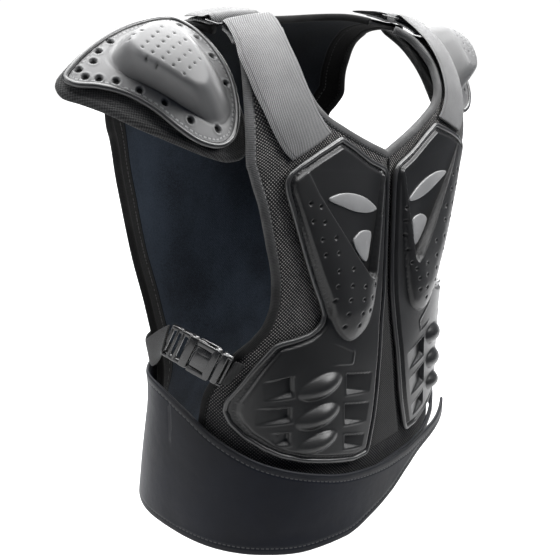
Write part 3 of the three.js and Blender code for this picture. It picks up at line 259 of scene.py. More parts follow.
padOutline = [(-33, 70), (-20, 74.5), (-4, 68.5), (14, 60), (38, 47), (60, 29), (79, 8), (91, -14),
              (91, -34), (72, -49), (37, -60), (4, -66), (-30, -67.5), (-44, -57), (-51, -20), (-48, 10),
              (-44, 34), (-39, 56)]
rimHoles = np.array([(-31.5, 17.5), (-28.5, 31.5), (-23, 41), (-24, 53.5), (-15.5, 54.5), (-8, 48.5),
                     (1.5, 40.5), (17, 31.5), (34, 21), (53, 10.5), (67, -8.5), (40, -43), (15, -50),
                     (-6, -54), (-24, -52)])
# turn in degrees from the front, top, bottom
beltRows = np.array([
    (-12, -404, -424), (30, -401, -412), (50, -388, -400), (66, -366, -404), (82, -334, -424),
    (100, -306, -440), (130, -298, -445), (180, -296, -445), (230, -298, -445), (262, -300, -446),
    (275, -316, -449), (285, -338, -452), (298, -363, -456), (312, -380, -460), (328, -393, -460),
    (344, -399, -452), (360, -402, -442), (375, -402, -427), (388, -399, -416), (402, -394, -407),
    (414, -384, -399)])

panelThick, webThick = 5.0, 2.0
plateBack = panelThick + 1.3
flangeTop = plateBack + 2.6
bodyTop = flangeTop + 2.8
pipeRadius = 2.4
tapeHalfWidth, tapeHalfHeight = 4.2, 3.7


# surfaces
def smooth(f):
    # 3 s^2 - 2 s^3 with s held between 0 and 1
    s = np.clip(f, 0, 1)
    return s * s * (3 - 2 * s)


def rowsAt(rows, column, at):
    # a Catmull-Rom curve through one column of a table
    last = len(rows) - 1
    i = np.clip(np.floor(at), 0, last - 1).astype(int)
    f = at - i
    a, b, c, d = (rows[np.clip(i + k, 0, last), column] for k in (-1, 0, 1, 2))
    return 0.5 * (2 * b + (c - a) * f + (2 * a - 5 * b + 4 * c - d) * f ** 2 + (3 * b - a - 3 * c + d) * f ** 3)


def curveAt(xs, ys, at):
    # a monotone-friendly cubic through points: Hermite with limited slopes
    xs, ys = np.asarray(xs, float), np.asarray(ys, float)
    order = np.argsort(xs)
    xs, ys = xs[order], ys[order]
    h = np.diff(xs)
    d = np.diff(ys) / h
    m = np.zeros_like(ys)
    m[0], m[-1] = d[0], d[-1]
    same = d[:-1] * d[1:] > 0
    m[1:-1] = np.where(same, 2 * d[:-1] * d[1:] / np.where(same, d[:-1] + d[1:], 1), 0)
    at = np.clip(at, xs[0], xs[-1])
    i = np.clip(np.searchsorted(xs, at, side="right") - 1, 0, len(h) - 1)
    t = (at - xs[i]) / h[i]
    return ((2 * t ** 3 - 3 * t ** 2 + 1) * ys[i] + (t ** 3 - 2 * t ** 2 + t) * h[i] * m[i]
            + (3 * t ** 2 - 2 * t ** 3) * ys[i + 1] + (t ** 3 - t ** 2) * h[i] * m[i + 1])


fall = {"drop": 22, "width": 190, "start": -110, "blend": 60}


def droop(x, z):
    # drop times the cube of x over width, growing from nothing at start to its whole one blend above
    return fall["drop"] * np.abs(x / fall["width"]) ** 3 * smooth((z - fall["start"]) / fall["blend"])


class Surface:
    # a surface by two parameters, with its outward normal from central differences
    step, flip = (0.05, 0.05), 1

    def slopes(self, u, v):
        du, dv = self.step
        along = (self.point(u + du, v) - self.point(u - du, v)) / (2 * du)
        up = (self.point(u, v + dv) - self.point(u, v - dv)) / (2 * dv)
        normal = np.cross(along, up)
        normal *= self.flip / np.linalg.norm(normal, axis=-1, keepdims=True)
        return along, up, normal

    def lift(self, u, v, height):
        normal = self.slopes(u, v)[2]
        return self.point(u, v) + normal * np.asarray(height)[..., None]


class Torso(Surface):
    # radius = ((|sin u| / half)^corner + (|cos u| / depth)^corner)^(-1/corner) about the middle line
    step = (0.001, 0.002)

    def __init__(self, rows, facing, top):
        self.rows, self.facing, self.flip = rows, facing, -facing
        self.stations = np.linspace(0, top, 1400)
        self.heights = rowsAt(rows, 0, self.stations)
        self.places = np.linspace(0, len(rows) - 1, 500)
        middle = self.point(np.zeros(500), self.places)
        self.rises = np.concatenate(([0], np.cumsum(np.linalg.norm(np.diff(middle, axis=0), axis=1))))
        turns = np.linspace(0, math.pi / 2 + 0.25, 400)
        grid = self.point(turns[None, :], self.places[:, None])
        lengths = np.linalg.norm(np.diff(grid, axis=1), axis=2)
        self.turns = turns
        self.girths = np.concatenate((np.zeros((500, 1)), np.cumsum(lengths, axis=1)), axis=1)

    def point(self, u, v):
        z, line, half, depth, corner = (rowsAt(self.rows, k, v) for k in range(5))
        radius = ((np.abs(np.sin(u)) / half) ** corner + (np.abs(np.cos(u)) / depth) ** corner) ** (-1 / corner)
        x = radius * np.sin(u)
        y = line + self.facing * (radius * np.cos(u) - depth)
        return np.stack((x, y + 0 * z, z - droop(x, z)), axis=-1)

    def turnAt(self, x, v):
        # tan of the turn = x over the depth that the section has there
        half, depth, corner = (rowsAt(self.rows, k, v) for k in (2, 3, 4))
        share = np.minimum(np.abs(x) / half, 0.9999)
        return np.arctan2(x, depth * (1 - share ** corner) ** (1 / corner))

    def locate(self, x, z):
        # the station whose drooped height is z, then the turn there
        x, z = np.broadcast_arrays(np.asarray(x, float), np.asarray(z, float))
        low, high = np.zeros_like(x), np.full_like(x, self.stations[-1])
        for _ in range(28):
            middle = (low + high) / 2
            height = rowsAt(self.rows, 0, middle)
            below = height - droop(x, height) < z
            low, high = np.where(below, middle, low), np.where(below, high, middle)
        return self.turnAt(x, low), low

    def flat(self, x, v):
        # distance round from the middle line and up from the hem
        u = self.turnAt(x, v)
        return self.roundOf(u, v), np.interp(v, self.places, self.rises)

    def roundOf(self, u, v):
        # distance round at a turn, read from the table of girths in a straight line between its entries
        i = np.clip(v / self.places[-1] * 499, 0, 498.999)
        j = np.clip(np.abs(u) / self.turns[-1] * 399, 0, 398.999)
        a, b = i.astype(int), j.astype(int)
        f, g = i - a, j - b
        table = self.girths
        size = ((table[a, b] * (1 - g) + table[a, b + 1] * g) * (1 - f)
                + (table[a + 1, b] * (1 - g) + table[a + 1, b + 1] * g) * f)
        return np.sign(u) * size

    def unflat(self, a, s):
        # turn by bisection on the distance round
        v = np.interp(s, self.rises, self.places)
        low, high = np.zeros_like(a), np.full_like(a, self.turns[-1])
        for _ in range(26):
            middle = (low + high) / 2
            below = self.roundOf(middle, v) < np.abs(a)
            low, high = np.where(below, middle, low), np.where(below, high, middle)
        return np.sign(a) * low, v


front = Torso(frontRows, -1, 13)
back = Torso(backRows, 1, 13)


def polygonDistance(points, outline):
    # signed distance to a closed outline, positive inside, with the distance along it
    outline = np.asarray(outline, float)
    after = np.roll(outline, -1, axis=0)
    lengths = np.linalg.norm(after - outline, axis=1)
    starts = np.concatenate(([0], np.cumsum(lengths)[:-1]))
    best = np.full(len(points), 1e9)
    along = np.zeros(len(points))
    inside = np.zeros(len(points), bool)
    for a, b, length, start in zip(outline, after, lengths, starts):
        d = b - a
        t = np.clip(((points - a) @ d) / max(length, 1e-9) ** 2, 0, 1)
        away = np.linalg.norm(points - a - t[:, None] * d, axis=1)
        near = away < best
        best[near], along[near] = away[near], start + t[near] * length
        crosses = (a[1] > points[:, 1]) != (b[1] > points[:, 1])
        rise = d[1] if abs(d[1]) > 1e-12 else 1e-12
        inside ^= crosses & (points[:, 0] < a[0] + (points[:, 1] - a[1]) / rise * d[0])
    return np.where(inside, best, -best), along


def roundOutline(outline, count):
    # evenly spaced points on a centripetal-like closed curve through the given ones
    knots = np.asarray(outline, float)
    n = len(knots)
    t = np.linspace(0, n, n * 24, endpoint=False)
    i = t.astype(int)
    f = (t - i)[:, None]
    a, b, c, d = (knots[(i + k) % n] for k in (-1, 0, 1, 2))
    chords = [np.maximum(np.linalg.norm(q - p, axis=1), 1e-6)[:, None] ** 0.5
              for p, q in ((a, b), (b, c), (c, d))]
    m1 = (c - b) + chords[1] * ((b - a) / chords[0] - (c - a) / (chords[0] + chords[1]))
    m2 = (c - b) + chords[1] * ((d - c) / chords[2] - (d - b) / (chords[1] + chords[2]))
    line = ((2 * f ** 3 - 3 * f ** 2 + 1) * b + (f ** 3 - 2 * f ** 2 + f) * m1
            + (3 * f ** 2 - 2 * f ** 3) * c + (f ** 3 - f ** 2) * m2)
    closed = np.vstack((line, line[:1]))
    lengths = np.concatenate(([0], np.cumsum(np.linalg.norm(np.diff(closed, axis=0), axis=1))))
    at = np.linspace(0, lengths[-1], count, endpoint=False)
    return np.stack([np.interp(at, lengths, closed[:, k]) for k in (0, 1)], axis=1)


def distanceSlope(spots, outline, step):
    # slope of the distance to an outline by central differences
    columns = []
    for shift in step * np.eye(2):
        gain = polygonDistance(spots + shift, outline)[0] - polygonDistance(spots - shift, outline)[0]
        columns.append(gain / (2 * step))
    return np.stack(columns, axis=1)


# the dome's centre, height, the share of the way to its foot that is flat, its sag and its lean
dome = {"centre": (18.0, -8.0), "rise": 25, "flat": 0.56, "sag": 0.12, "lean": 0.5}
bowl = {"rise": 12, "alongSag": 0.0042, "acrossSag": 0.003}


def reach(angle):
    # distance from the dome's centre to its foot in a direction, averaged over about 12 degrees
    table = np.linspace(-math.pi, math.pi, 721)
    centre = np.array(dome["centre"])
    best = np.zeros(721)
    after = np.roll(domeFoot, -1, axis=0)
    for a, b in zip(domeFoot - centre, after - centre):
        c, s = np.cos(table), np.sin(table)
        cross = (b[0] - a[0]) * s - (b[1] - a[1]) * c
        cross = np.where(np.abs(cross) < 1e-12, 1e-12, cross)
        t = (a[1] * c - a[0] * s) / cross
        along = (a[1] * (b[0] - a[0]) - a[0] * (b[1] - a[1])) / cross
        hit = (t >= -1e-9) & (t <= 1 + 1e-9) & (along > best)
        best[hit] = along[hit]
    best = np.convolve(np.concatenate((best[-13:-1], best, best[1:13])), np.ones(25) / 25, "valid")
    return np.interp(angle, table, best)


def domeShare(p, q):
    # distance from the dome's centre over the distance to its foot in that direction
    x, y = p - dome["centre"][0], q - dome["centre"][1]
    return np.hypot(x, y) / reach(np.arctan2(y, x))


def domeHeight(p, q):
    # full rise over the flat share, then a smooth fall to the foot, less a sag with the share squared
    share = domeShare(p, q)
    fallen = smooth((share - dome["flat"]) / (1 - dome["flat"]))
    return dome["rise"] * (1 - fallen) * (1 - dome["sag"] * share ** 2)


class Shoulder(Surface):
    # a shallow bowl over the shoulder with a leaning dome on it
    middle = np.array((-212, 18, -20.0))
    ahead = np.array((0.1695, -0.7611, -0.6261))
    outward = np.array((-0.955, 0.03, -0.295))
    up = np.array((-0.2433, -0.6479, 0.7218))
    flip = -1

    def point(self, p, q):
        rise = domeHeight(p, q)
        height = bowl["rise"] - bowl["alongSag"] * p ** 2 - bowl["acrossSag"] * q ** 2 + rise
        return (self.middle + p[..., None] * self.ahead + (q + dome["lean"] * rise)[..., None] * self.outward
                + height[..., None] * self.up)


shoulder = Shoulder()


class Girth(Surface):
    # the body's outline at a height, by the turn from the front towards the wearer's left; it flares below the hem
    step, hem, top, flare = (0.002, 0.5), -440, -250, 0.0006

    def point(self, u, z):
        turn = np.arctan2(np.sin(u), np.cos(u))
        isFront = np.abs(turn) <= math.pi / 2
        below = np.minimum(z - self.hem, 0)
        low = np.clip(z, self.hem, self.top)
        frontV = np.interp(low, front.heights[:900], front.stations[:900])
        backV = np.interp(low, back.heights[:900], back.stations[:900])
        ahead = front.point(turn, frontV)
        behind = back.point(math.pi - turn, backV)
        place = np.where(isFront[..., None], ahead, behind)
        place[..., :2] *= (1 - below * self.flare)[..., None]
        place[..., 2] = z
        return place


girth = Girth()


# mesh helpers
def makeMesh(name, points, faces, uv=None, values=None, flipFaces=None, mirror=False):
    # points in millimetres; faces: list of whole arrays of triangles or quads
    points = np.asarray(points, float).reshape(-1, 3) * mm
    if mirror:
        points = points * (-1, 1, 1)
    faces = [np.asarray(f, int) for f in faces if len(f)]
    volume = 0.0
    for f in faces:
        for k in range(1, f.shape[1] - 1):
            a, b, c = points[f[:, 0]], points[f[:, k]], points[f[:, k + 1]]
            volume += np.einsum("ij,ij->i", a, np.cross(b, c)).sum()
    if flipFaces if flipFaces is not None else volume < 0:
        faces = [f[:, ::-1] for f in faces]
    mesh = bpy.data.meshes.new(name)
    counts = np.concatenate([np.full(len(f), f.shape[1]) for f in faces])
    corners = np.concatenate([f.ravel() for f in faces])
    mesh.vertices.add(len(points))
    mesh.vertices.foreach_set("co", points.ravel())
    mesh.loops.add(len(corners))
    mesh.loops.foreach_set("vertex_index", corners.astype(np.int32))
    mesh.polygons.add(len(counts))
    mesh.polygons.foreach_set("loop_start", np.concatenate(([0], np.cumsum(counts)[:-1])).astype(np.int32))
    mesh.polygons.foreach_set("use_smooth", np.ones(len(counts), bool))
    mesh.update(calc_edges=True)
    mesh.validate()
    if uv is not None:
        layer = mesh.uv_layers.new(name="cloth")
        layer.data.foreach_set("uv", (np.asarray(uv, float)[corners] * mm).ravel())
    for key, value in (values or {}).items():
        layer = mesh.attributes.new(key, "FLOAT", "POINT")
        layer.data.foreach_set("value", np.asarray(value, np.float32))
    piece = bpy.data.objects.new(name, mesh)
    scene.collection.objects.link(piece)
    return piece


def dress(piece, material, nodes=(), body="root"):
    # gives a piece its material, body and slot, and hides the nodes that it stands for
    piece.data.materials.append(material)
    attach(piece, body)
    if nodes:
        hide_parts(*nodes)
    return piece


def latticeOver(outline, inset, step):
    # a square lattice inside an outline; border points are moved onto the inset line
    outline = np.asarray(outline, float)
    low, high = outline.min(axis=0) - step, outline.max(axis=0) + step
    nx, nz = (np.ceil((high - low) / step).astype(int) + 1)
    gx, gz = np.meshgrid(low[0] + np.arange(nx) * step, low[1] + np.arange(nz) * step, indexing="ij")
    points = np.stack((gx.ravel(), gz.ravel()), axis=1)
    distance, along = polygonDistance(points, outline)
    index = np.arange(nx * nz).reshape(nx, nz)
    quads = np.stack((index[:-1, :-1], index[1:, :-1], index[1:, 1:], index[:-1, 1:]), axis=-1).reshape(-1, 4)
    inside = distance > inset
    quads = quads[inside[quads].sum(axis=1) >= 2]
    used = np.unique(quads)
    number = np.full(len(points), -1)
    number[used] = np.arange(len(used))
    points, distance, along, quads = points[used], distance[used], along[used], number[quads]
    for _ in range(3):
        out = distance < inset
        edge = borderOf(quads)
        loose = np.zeros(len(points), bool)
        loose[edge.ravel()] = True
        loose |= out
        spots = points[loose]
        gradient = distanceSlope(spots, outline, 0.05)
        size = np.maximum(np.linalg.norm(gradient, axis=1, keepdims=True), 0.3)
        points[loose] = spots + gradient / size ** 2 * (inset - distance[loose])[:, None]
        distance[loose], along[loose] = polygonDistance(points[loose], outline)
    return points, quads, distance, along


def borderOf(quads):
    # edges that only one face uses, in that face's direction
    edges = np.concatenate([np.stack((quads[:, k], quads[:, (k + 1) % quads.shape[1]]), axis=1)
                            for k in range(quads.shape[1])])
    keys = np.sort(edges, axis=1)
    _, first, counts = np.unique(keys, axis=0, return_index=True, return_counts=True)
    return edges[first[counts == 1]]


def pairOf(name, points, faces, uv, values, finish, node):
    # the wearer's right piece and its mirror image on the left
    pieces = []
    for side in ("right", "left"):
        piece = makeMesh(name + side.title(), points, faces, uv, values, mirror=side == "left")
        pieces.append(dress(piece, finishes[finish], [node + "_" + side]))
    return pieces


def onTop(value):
    # a value on the upper skin and none on the under skin
    return np.concatenate((value, value * 0))


def onBoth(value):
    # the same value on both skins
    return np.concatenate((value, value))


def slabOver(surface, places, quads, low, high):
    # two skins over the same lattice joined by a wall round the border
    top = surface.lift(places[0], places[1], high)
    under = surface.lift(places[0], places[1], low)
    n = len(top)
    edge = borderOf(quads)
    wall = np.stack((edge[:, 1], edge[:, 0], edge[:, 0] + n, edge[:, 1] + n), axis=1)
    return np.vstack((top, under)), [quads, quads[:, ::-1] + n, wall]


def sweep(path, side, up, profile, closed=False):
    # carries a closed profile (side, up) along a path
    profile = np.asarray(profile, float)
    rings = (path[:, None, :] + profile[None, :, 0, None] * side[:, None, :]
             + profile[None, :, 1, None] * up[:, None, :])
    n, k = rings.shape[:2]
    i = np.arange(n if closed else n - 1)[:, None]
    j = np.arange(k)[None, :]
    here, there, after = i * k, ((i + 1) % n) * k, (j + 1) % k
    quads = np.stack((here + j, there + j, there + after, here + after), axis=-1).reshape(-1, 4)
    points = rings.reshape(-1, 3)
    faces = [quads]
    if not closed:
        points = np.vstack((points, rings[0].mean(axis=0), rings[-1].mean(axis=0)))
        ring = np.arange(k)
        faces.append(np.stack((np.full(k, n * k), ring, (ring + 1) % k), axis=1))
        faces.append(np.stack((np.full(k, n * k + 1), (n - 1) * k + (ring + 1) % k, (n - 1) * k + ring), axis=1))
    around = np.concatenate(([0], np.cumsum(np.linalg.norm(np.diff(profile, axis=0), axis=1))))
    steps = np.concatenate(([0], np.cumsum(np.linalg.norm(np.diff(path, axis=0), axis=1))))
    uv = np.stack(np.broadcast_arrays(steps[:, None], around[None, :]), axis=-1).reshape(-1, 2)
    if not closed:
        uv = np.vstack((uv, uv[:1], uv[-1:]))
    return points, faces, uv


def frameAlong(surface, u, v, height, closed=False):
    # path over a surface with its side and up directions
    path = surface.lift(u, v, np.full(len(u), float(height)) if np.isscalar(height) else height)
    normal = surface.slopes(u, v)[2]
    if closed:
        ahead = np.roll(path, -1, axis=0) - np.roll(path, 1, axis=0)
    else:
        ahead = np.gradient(path, axis=0)
    ahead /= np.linalg.norm(ahead, axis=1, keepdims=True)
    side = np.cross(ahead, normal)
    side /= np.linalg.norm(side, axis=1, keepdims=True)
    return path, side, np.cross(side, ahead)


def ovalProfile(width, height, count, power=2.0):
    # a superellipse: |x / width|^power + |y / height|^power = 1
    a = np.linspace(0, 2 * math.pi, count, endpoint=False)
    c, s = np.cos(a), np.sin(a)
    return np.stack((width * np.sign(c) * np.abs(c) ** (2 / power),
                     height * np.sign(s) * np.abs(s) ** (2 / power)), axis=1)


def slideTo(surface, u, v, direction, distance):
    # a short move along a surface in a space direction
    along, up, _ = surface.slopes(u, v)
    a, b, c = (np.einsum("ij,ij->i", p, q) for p, q in ((along, along), (along, up), (up, up)))
    d, e = (np.einsum("ij,ij->i", p, direction) * distance for p in (along, up))
    size = a * c - b * b
    return u + (d * c - e * b) / size, v + (a * e - b * d) / size


def inset(surface, u, v, distance):
    # moves a line over a surface sideways by a distance
    _, side, _ = frameAlong(surface, u, v, 0.0)
    return slideTo(surface, u, v, side, distance)


def evenly(xs, ys, count, closed=False):
    # points at equal distances along a line
    line = np.stack((xs, ys), axis=1)
    if closed:
        line = np.vstack((line, line[:1]))
    lengths = np.concatenate(([0], np.cumsum(np.linalg.norm(np.diff(line, axis=0), axis=1))))
    at = np.linspace(0, lengths[-1], count, endpoint=not closed)
    return np.interp(at, lengths, line[:, 0]), np.interp(at, lengths, line[:, 1])


# materials
def spacerMesh():
    # dots where a wave over the cloth is high, dark pits where it is low, and painted shade darkening it towards the
    # hem below the plates
    finish = Finish("spacerMesh", Roughness=0.8, Specular_IOR_Level=0.2)
    u, v, _ = finish.parts(finish.uv)
    pitch = 0.0032
    wave = (u * (2 * math.pi / pitch)).math("COSINE") * (v * (2 * math.pi / pitch)).math("COSINE")
    wobble = finish.noise(90.0, 2.0)
    dots = (wave + (wobble - 0.5) * 0.5).step(0.30, 0.75)
    pits = (wave * -1.0).step(0.2, 0.8)
    large = finish.noise(14.0, 3.0)
    # painted shade: this mask darkens the mesh low down, below the plates, towards the hem
    low = finish.parts(finish.place)[2].step(-0.24, -0.34)
    base = finish.mix(large.step(0.3, 0.7), grey(0.010, (0.95, 1, 1.1)), grey(0.02, (1, 1, 1.05)))
    colour = finish.mix(dots * 0.9, base, grey(0.30, (1.04, 1, 0.95)))
    colour = finish.mix(pits * 0.85, colour, grey(0.003))
    colour = finish.mix(low * 0.72, colour, grey(0.004, (0.8, 0.95, 1.3)))
    height = dots - pits
    return finish.finish(colour, None, [(height, 0.6, 0.0006)])


def plainCloth(name, dark, light, pitch):
    # a woven check of two sines, blended with slow and fine noise
    finish = Finish(name, Roughness=0.9, Specular_IOR_Level=0.15, Sheen_Weight=0.05, Sheen_Roughness=0.5)
    u, v, _ = finish.parts(finish.uv)
    weave = (u * (2 * math.pi / pitch)).math("SINE") * (v * (2 * math.pi / pitch)).math("SINE")
    large = finish.noise(30.0, 4.0)
    fuzz = finish.noise(900.0, 2.0)
    mask = (weave * 0.5 + 0.5) * 0.5 + large * 0.4 + fuzz * 0.25
    colour = finish.mix(mask.step(0.25, 0.95), grey(dark), grey(light))
    return finish.finish(colour, None, [(weave + fuzz, 0.5, 0.0003)])


def tapeCloth(name, top, low):
    # knitted ribs across the tape and a stitch line beside its outer edge; painted light makes it paler above and
    # painted shade makes it darker at the waist
    finish = Finish(name, Roughness=0.9, Specular_IOR_Level=0.12, Sheen_Weight=0.02)
    # painted light and shade: the tape is paler high up and darker towards the waist
    paintedLightAbove = finish.parts(finish.place)[2].step(-0.26, -0.06)
    u = finish.parts(finish.uv)[0]
    ribs = (u * (2 * math.pi / 0.0014)).math("SINE")
    place = finish.attribute("across")
    dash = (u * (2 * math.pi / 0.0042)).math("SINE").step(-0.35, -0.1)
    line = (place - 0.62).math("ABSOLUTE").step(0.10, 0.04) * dash
    groove = (place - 0.62).math("ABSOLUTE").step(0.22, 0.0)
    large = finish.noise(45.0, 3.0)
    fuzz = finish.noise(1100.0, 2.0)
    mask = (large * 0.6 + fuzz * 0.3 + ribs * 0.12).step(0.25, 0.75)
    colour = finish.mix(mask, finish.mix(paintedLightAbove, grey(low * 0.4), grey(top * 0.4)),
                        finish.mix(paintedLightAbove, grey(low), grey(top)))
    colour = finish.mix(groove * 0.6, colour, grey(low * 0.3))
    colour = finish.mix(line, colour, finish.mix(paintedLightAbove, grey(low * 1.6), grey(top * 1.6)))
    height = ribs * 0.25 + fuzz * 0.5 + line * 0.8 - groove
    return finish.finish(colour, None, [(height, 0.6, 0.0005)])


def liningCloth():
    # brushed lining with a lighter margin band, a groove painted dark as a shadow, and a stitch line along the
    # armholes; painted shade darkens the inside near the neck
    finish = Finish("backLining", Roughness=0.95, Specular_IOR_Level=0.08, Sheen_Weight=0.02)
    edge = finish.attribute("edge")
    along = finish.attribute("along")
    outside = finish.attribute("outside")
    u, v, _ = finish.parts(finish.uv)
    large = finish.noise(12.0, 4.0)
    fuzz = finish.noise(650.0, 3.0)
    nap = (u * (2 * math.pi / 0.0022)).math("SINE") * (v * (2 * math.pi / 0.0022)).math("SINE")
    tint = (0.75, 1, 1.4)
    blue = finish.mix((large * 0.7 + fuzz * 0.5).step(0.35, 0.85), grey(0.008, tint), grey(0.030, tint))
    band = finish.mix((large * 0.4 + fuzz * 0.7).step(0.3, 0.8), grey(0.003), grey(0.014))
    isBand = edge.step(30.5, 29.0) * (1 - outside)
    # painted shadow: the groove between the margin band and the lining is darkened
    groove = (edge - 30.5).math("ABSOLUTE").step(2.2, 0.6) * (1 - outside)
    dash = (along * (2 * math.pi / 4.2)).math("SINE").step(-0.4, -0.1)
    stitch = (edge - 24.0).math("ABSOLUTE").step(0.9, 0.4) * dash
    plain = finish.mix((nap * 0.3 + fuzz * 0.5 + large * 0.4).step(0.2, 0.8), grey(0.012), grey(0.035))
    colour = finish.mix(isBand, blue, band)
    colour = finish.mix(outside, colour, plain)
    colour = finish.mix(groove, colour, grey(0.004))
    colour = finish.mix(stitch * 0.8, colour, grey(0.08))
    # painted shade: the lining is darkened high up at the back neck
    high = finish.parts(finish.place)[2].step(-0.10, -0.02) * (1 - outside)
    colour = finish.mix(high * 0.75, colour, grey(0.003))
    height = fuzz * 0.6 + nap * 0.25 + stitch - groove * 2.5
    return finish.finish(colour, None, [(height, 0.5, 0.0008)])


def mouldedPlastic(name, dark, light, rough, wearAndHighlight):
    # satin plastic, paler on its crests as painted highlight mixed with scuffed wear, painted shade in its pits, dark
    # in its seam, with a row of stitches along the border
    finish = Finish(name, Specular_IOR_Level=0.32)
    pit = finish.attribute("pit")
    stitch = finish.attribute("stitch")
    seam = finish.attribute("seam")
    crest = finish.attribute("crest")
    large = finish.noise(9.0, 4.0)
    small = finish.noise(1400.0, 2.0)
    scuff = finish.noise(60.0, 5.0, 0.7).step(0.56, 0.72)
    colour = finish.mix(large.step(0.25, 0.75), grey(dark), grey(light))
    # painted highlight mixed with scuffed wear: the crests are made paler
    colour = finish.mix(crest * wearAndHighlight * (0.4 + scuff * 0.6), colour, grey(light * 2.2))
    colour = finish.mix(seam * 0.7, colour, grey(dark * 0.3))
    along = finish.attribute("along")
    dash = (along * (2 * math.pi / 4.6)).math("SINE").step(-0.5, -0.2)
    colour = finish.mix(stitch * dash * 0.8, colour, grey(light * 1.9))
    # painted shade: the vent, hole and pin dimples are made near black in place of open holes
    colour = finish.mix(pit, colour, grey(0.0015))
    roughness = large * 0.14 + small * 0.10 + scuff * 0.06 + (rough - 0.12) + pit * 0.4
    return finish.finish(colour, roughness, [(small, 0.35, 0.00008), (stitch * dash - seam, 0.5, 0.0004)])


def smoothPiping():
    # fine ribs along a dark, slightly coated bead
    finish = Finish("pipingBead", Coat_Weight=0.25, Coat_Roughness=0.2)
    u = finish.parts(finish.uv)[0]
    small = finish.noise(700.0, 2.0)
    large = finish.noise(16.0, 3.0)
    ribs = (u * (2 * math.pi / 0.0011)).math("SINE")
    colour = finish.mix(large.step(0.3, 0.7), grey(0.010), grey(0.025))
    return finish.finish(colour, large * 0.15 + small * 0.15 + 0.2, [(ribs * 0.4 + small, 0.25, 0.00015)])


def silverInsert():
    # satin grey with faint scuffs
    finish = Finish("silverInsert", Metallic=0.15, Coat_Weight=0.1, Coat_Roughness=0.3)
    small = finish.noise(1200.0, 2.0)
    large = finish.noise(18.0, 4.0)
    scuff = finish.noise(70.0, 5.0, 0.7).step(0.55, 0.75)
    colour = finish.mix((large + scuff * 0.3).step(0.3, 0.9), grey(0.20), grey(0.32))
    return finish.finish(colour, large * 0.2 + small * 0.1 + 0.28, [(small, 0.3, 0.0001)])


def twillWebbing(name, dark, light, pitch=0.0021):
    # diagonal ribs with a thread count across, a seam row near each selvedge
    finish = Finish(name, Roughness=0.8, Specular_IOR_Level=0.2, Sheen_Weight=0.04)
    u, v, _ = finish.parts(finish.uv)
    wobble = finish.noise(120.0, 2.0)
    ribs = ((u + v * 1.0) * (2 * math.pi / pitch) + wobble * 1.2).math("SINE")
    threads = (v * (2 * math.pi / (pitch * 0.5))).math("SINE")
    across = finish.attribute("across")
    selvedge = across.math("ABSOLUTE").step(0.86, 0.93)
    groove = (across.math("ABSOLUTE") - 0.86).math("ABSOLUTE").step(0.035, 0.0)
    large = finish.noise(25.0, 4.0)
    fuzz = finish.noise(1300.0, 2.0)
    mask = ribs * 0.28 + threads * 0.1 + large * 0.5 + fuzz * 0.3
    colour = finish.mix(mask.step(0.0, 0.95), grey(dark), grey(light))
    colour = finish.mix(groove * 0.5, colour, grey(dark * 0.4))
    height = ribs * 0.7 + threads * 0.3 + fuzz * 0.3 - groove + selvedge * 0.3
    return finish.finish(colour, None, [(height, 0.55, 0.0004)])


def satinBelt():
    # smooth coated cloth with a turned and stitched hem along both edges
    finish = Finish("satinBelt", Specular_IOR_Level=0.14)
    edge = finish.attribute("edge")
    u = finish.parts(finish.uv)[0]
    large = finish.noise(7.0, 4.0)
    soft = finish.noise(28.0, 3.0)
    grain = finish.noise(1500.0, 3.0)
    dash = (u * (2 * math.pi / 0.0046)).math("SINE").step(-0.5, -0.2)
    stitch = (edge - 7.0).math("ABSOLUTE").step(0.75, 0.3) * dash
    valley = (edge - 7.0).math("ABSOLUTE").step(2.4, 0.2)
    fold = edge.step(7.5, 4.0)
    tint = (0.75, 0.95, 1.6)
    colour = finish.mix(large.step(0.3, 0.7), grey(0.003, tint), grey(0.007, tint))
    colour = finish.mix(fold * 0.3, colour, grey(0.02))
    colour = finish.mix(stitch * 0.7, colour, grey(0.07))
    rough = large * 0.12 + grain * 0.1 + 0.36
    height = grain * 0.15 + stitch * 0.6 - valley
    return finish.finish(colour, rough, [(soft, 0.25, 0.004), (height, 0.5, 0.0007)])


def glossBuckle():
    # near black with a thin coat and fine scuffs
    finish = Finish("glossBuckle", Coat_Weight=0.3, Coat_Roughness=0.12)
    small = finish.noise(900.0, 2.0)
    large = finish.noise(30.0, 4.0)
    scuff = finish.noise(160.0, 5.0, 0.75).step(0.58, 0.75)
    colour = finish.mix(scuff * 0.6, grey(0.010), grey(0.028))
    return finish.finish(colour, large * 0.12 + scuff * 0.12 + 0.2, [(small, 0.2, 0.00008)])


def paleFloor():
    # plain pale ground
    finish = Finish("paleFloor", Roughness=0.9)
    large = finish.noise(3.0, 2.0)
    colour = finish.mix(large, grey(0.46), grey(0.48))
    return finish.finish(colour)


finishes = {
    "mesh": spacerMesh(), "tape": tapeCloth("frontTape", 0.13, 0.02),
    "backTape": tapeCloth("backTape", 0.02, 0.006), "lining": liningCloth(),
    "plate": mouldedPlastic("platePlastic", 0.010, 0.017, 0.33, 0.5),
    "cap": mouldedPlastic("capPlastic", 0.09, 0.14, 0.46, 0.35),
    "piping": smoothPiping(), "insert": silverInsert(),
    "web": twillWebbing("strapTwill", 0.06, 0.26), "sideWeb": twillWebbing("sideWebbing", 0.010, 0.035, 0.0018),
    "strip": plainCloth("centreWeave", 0.006, 0.022, 0.0024),
    "pad": plainCloth("padKnit", 0.012, 0.06, 0.0026), "belt": satinBelt(), "buckle": glossBuckle()}
print("finishes made")


# panels and their tapes
panelStyle = {"inset": 3.6, "middle": 2.5, "half": 2.3, "puff": 0.2, "chunk": 4000}


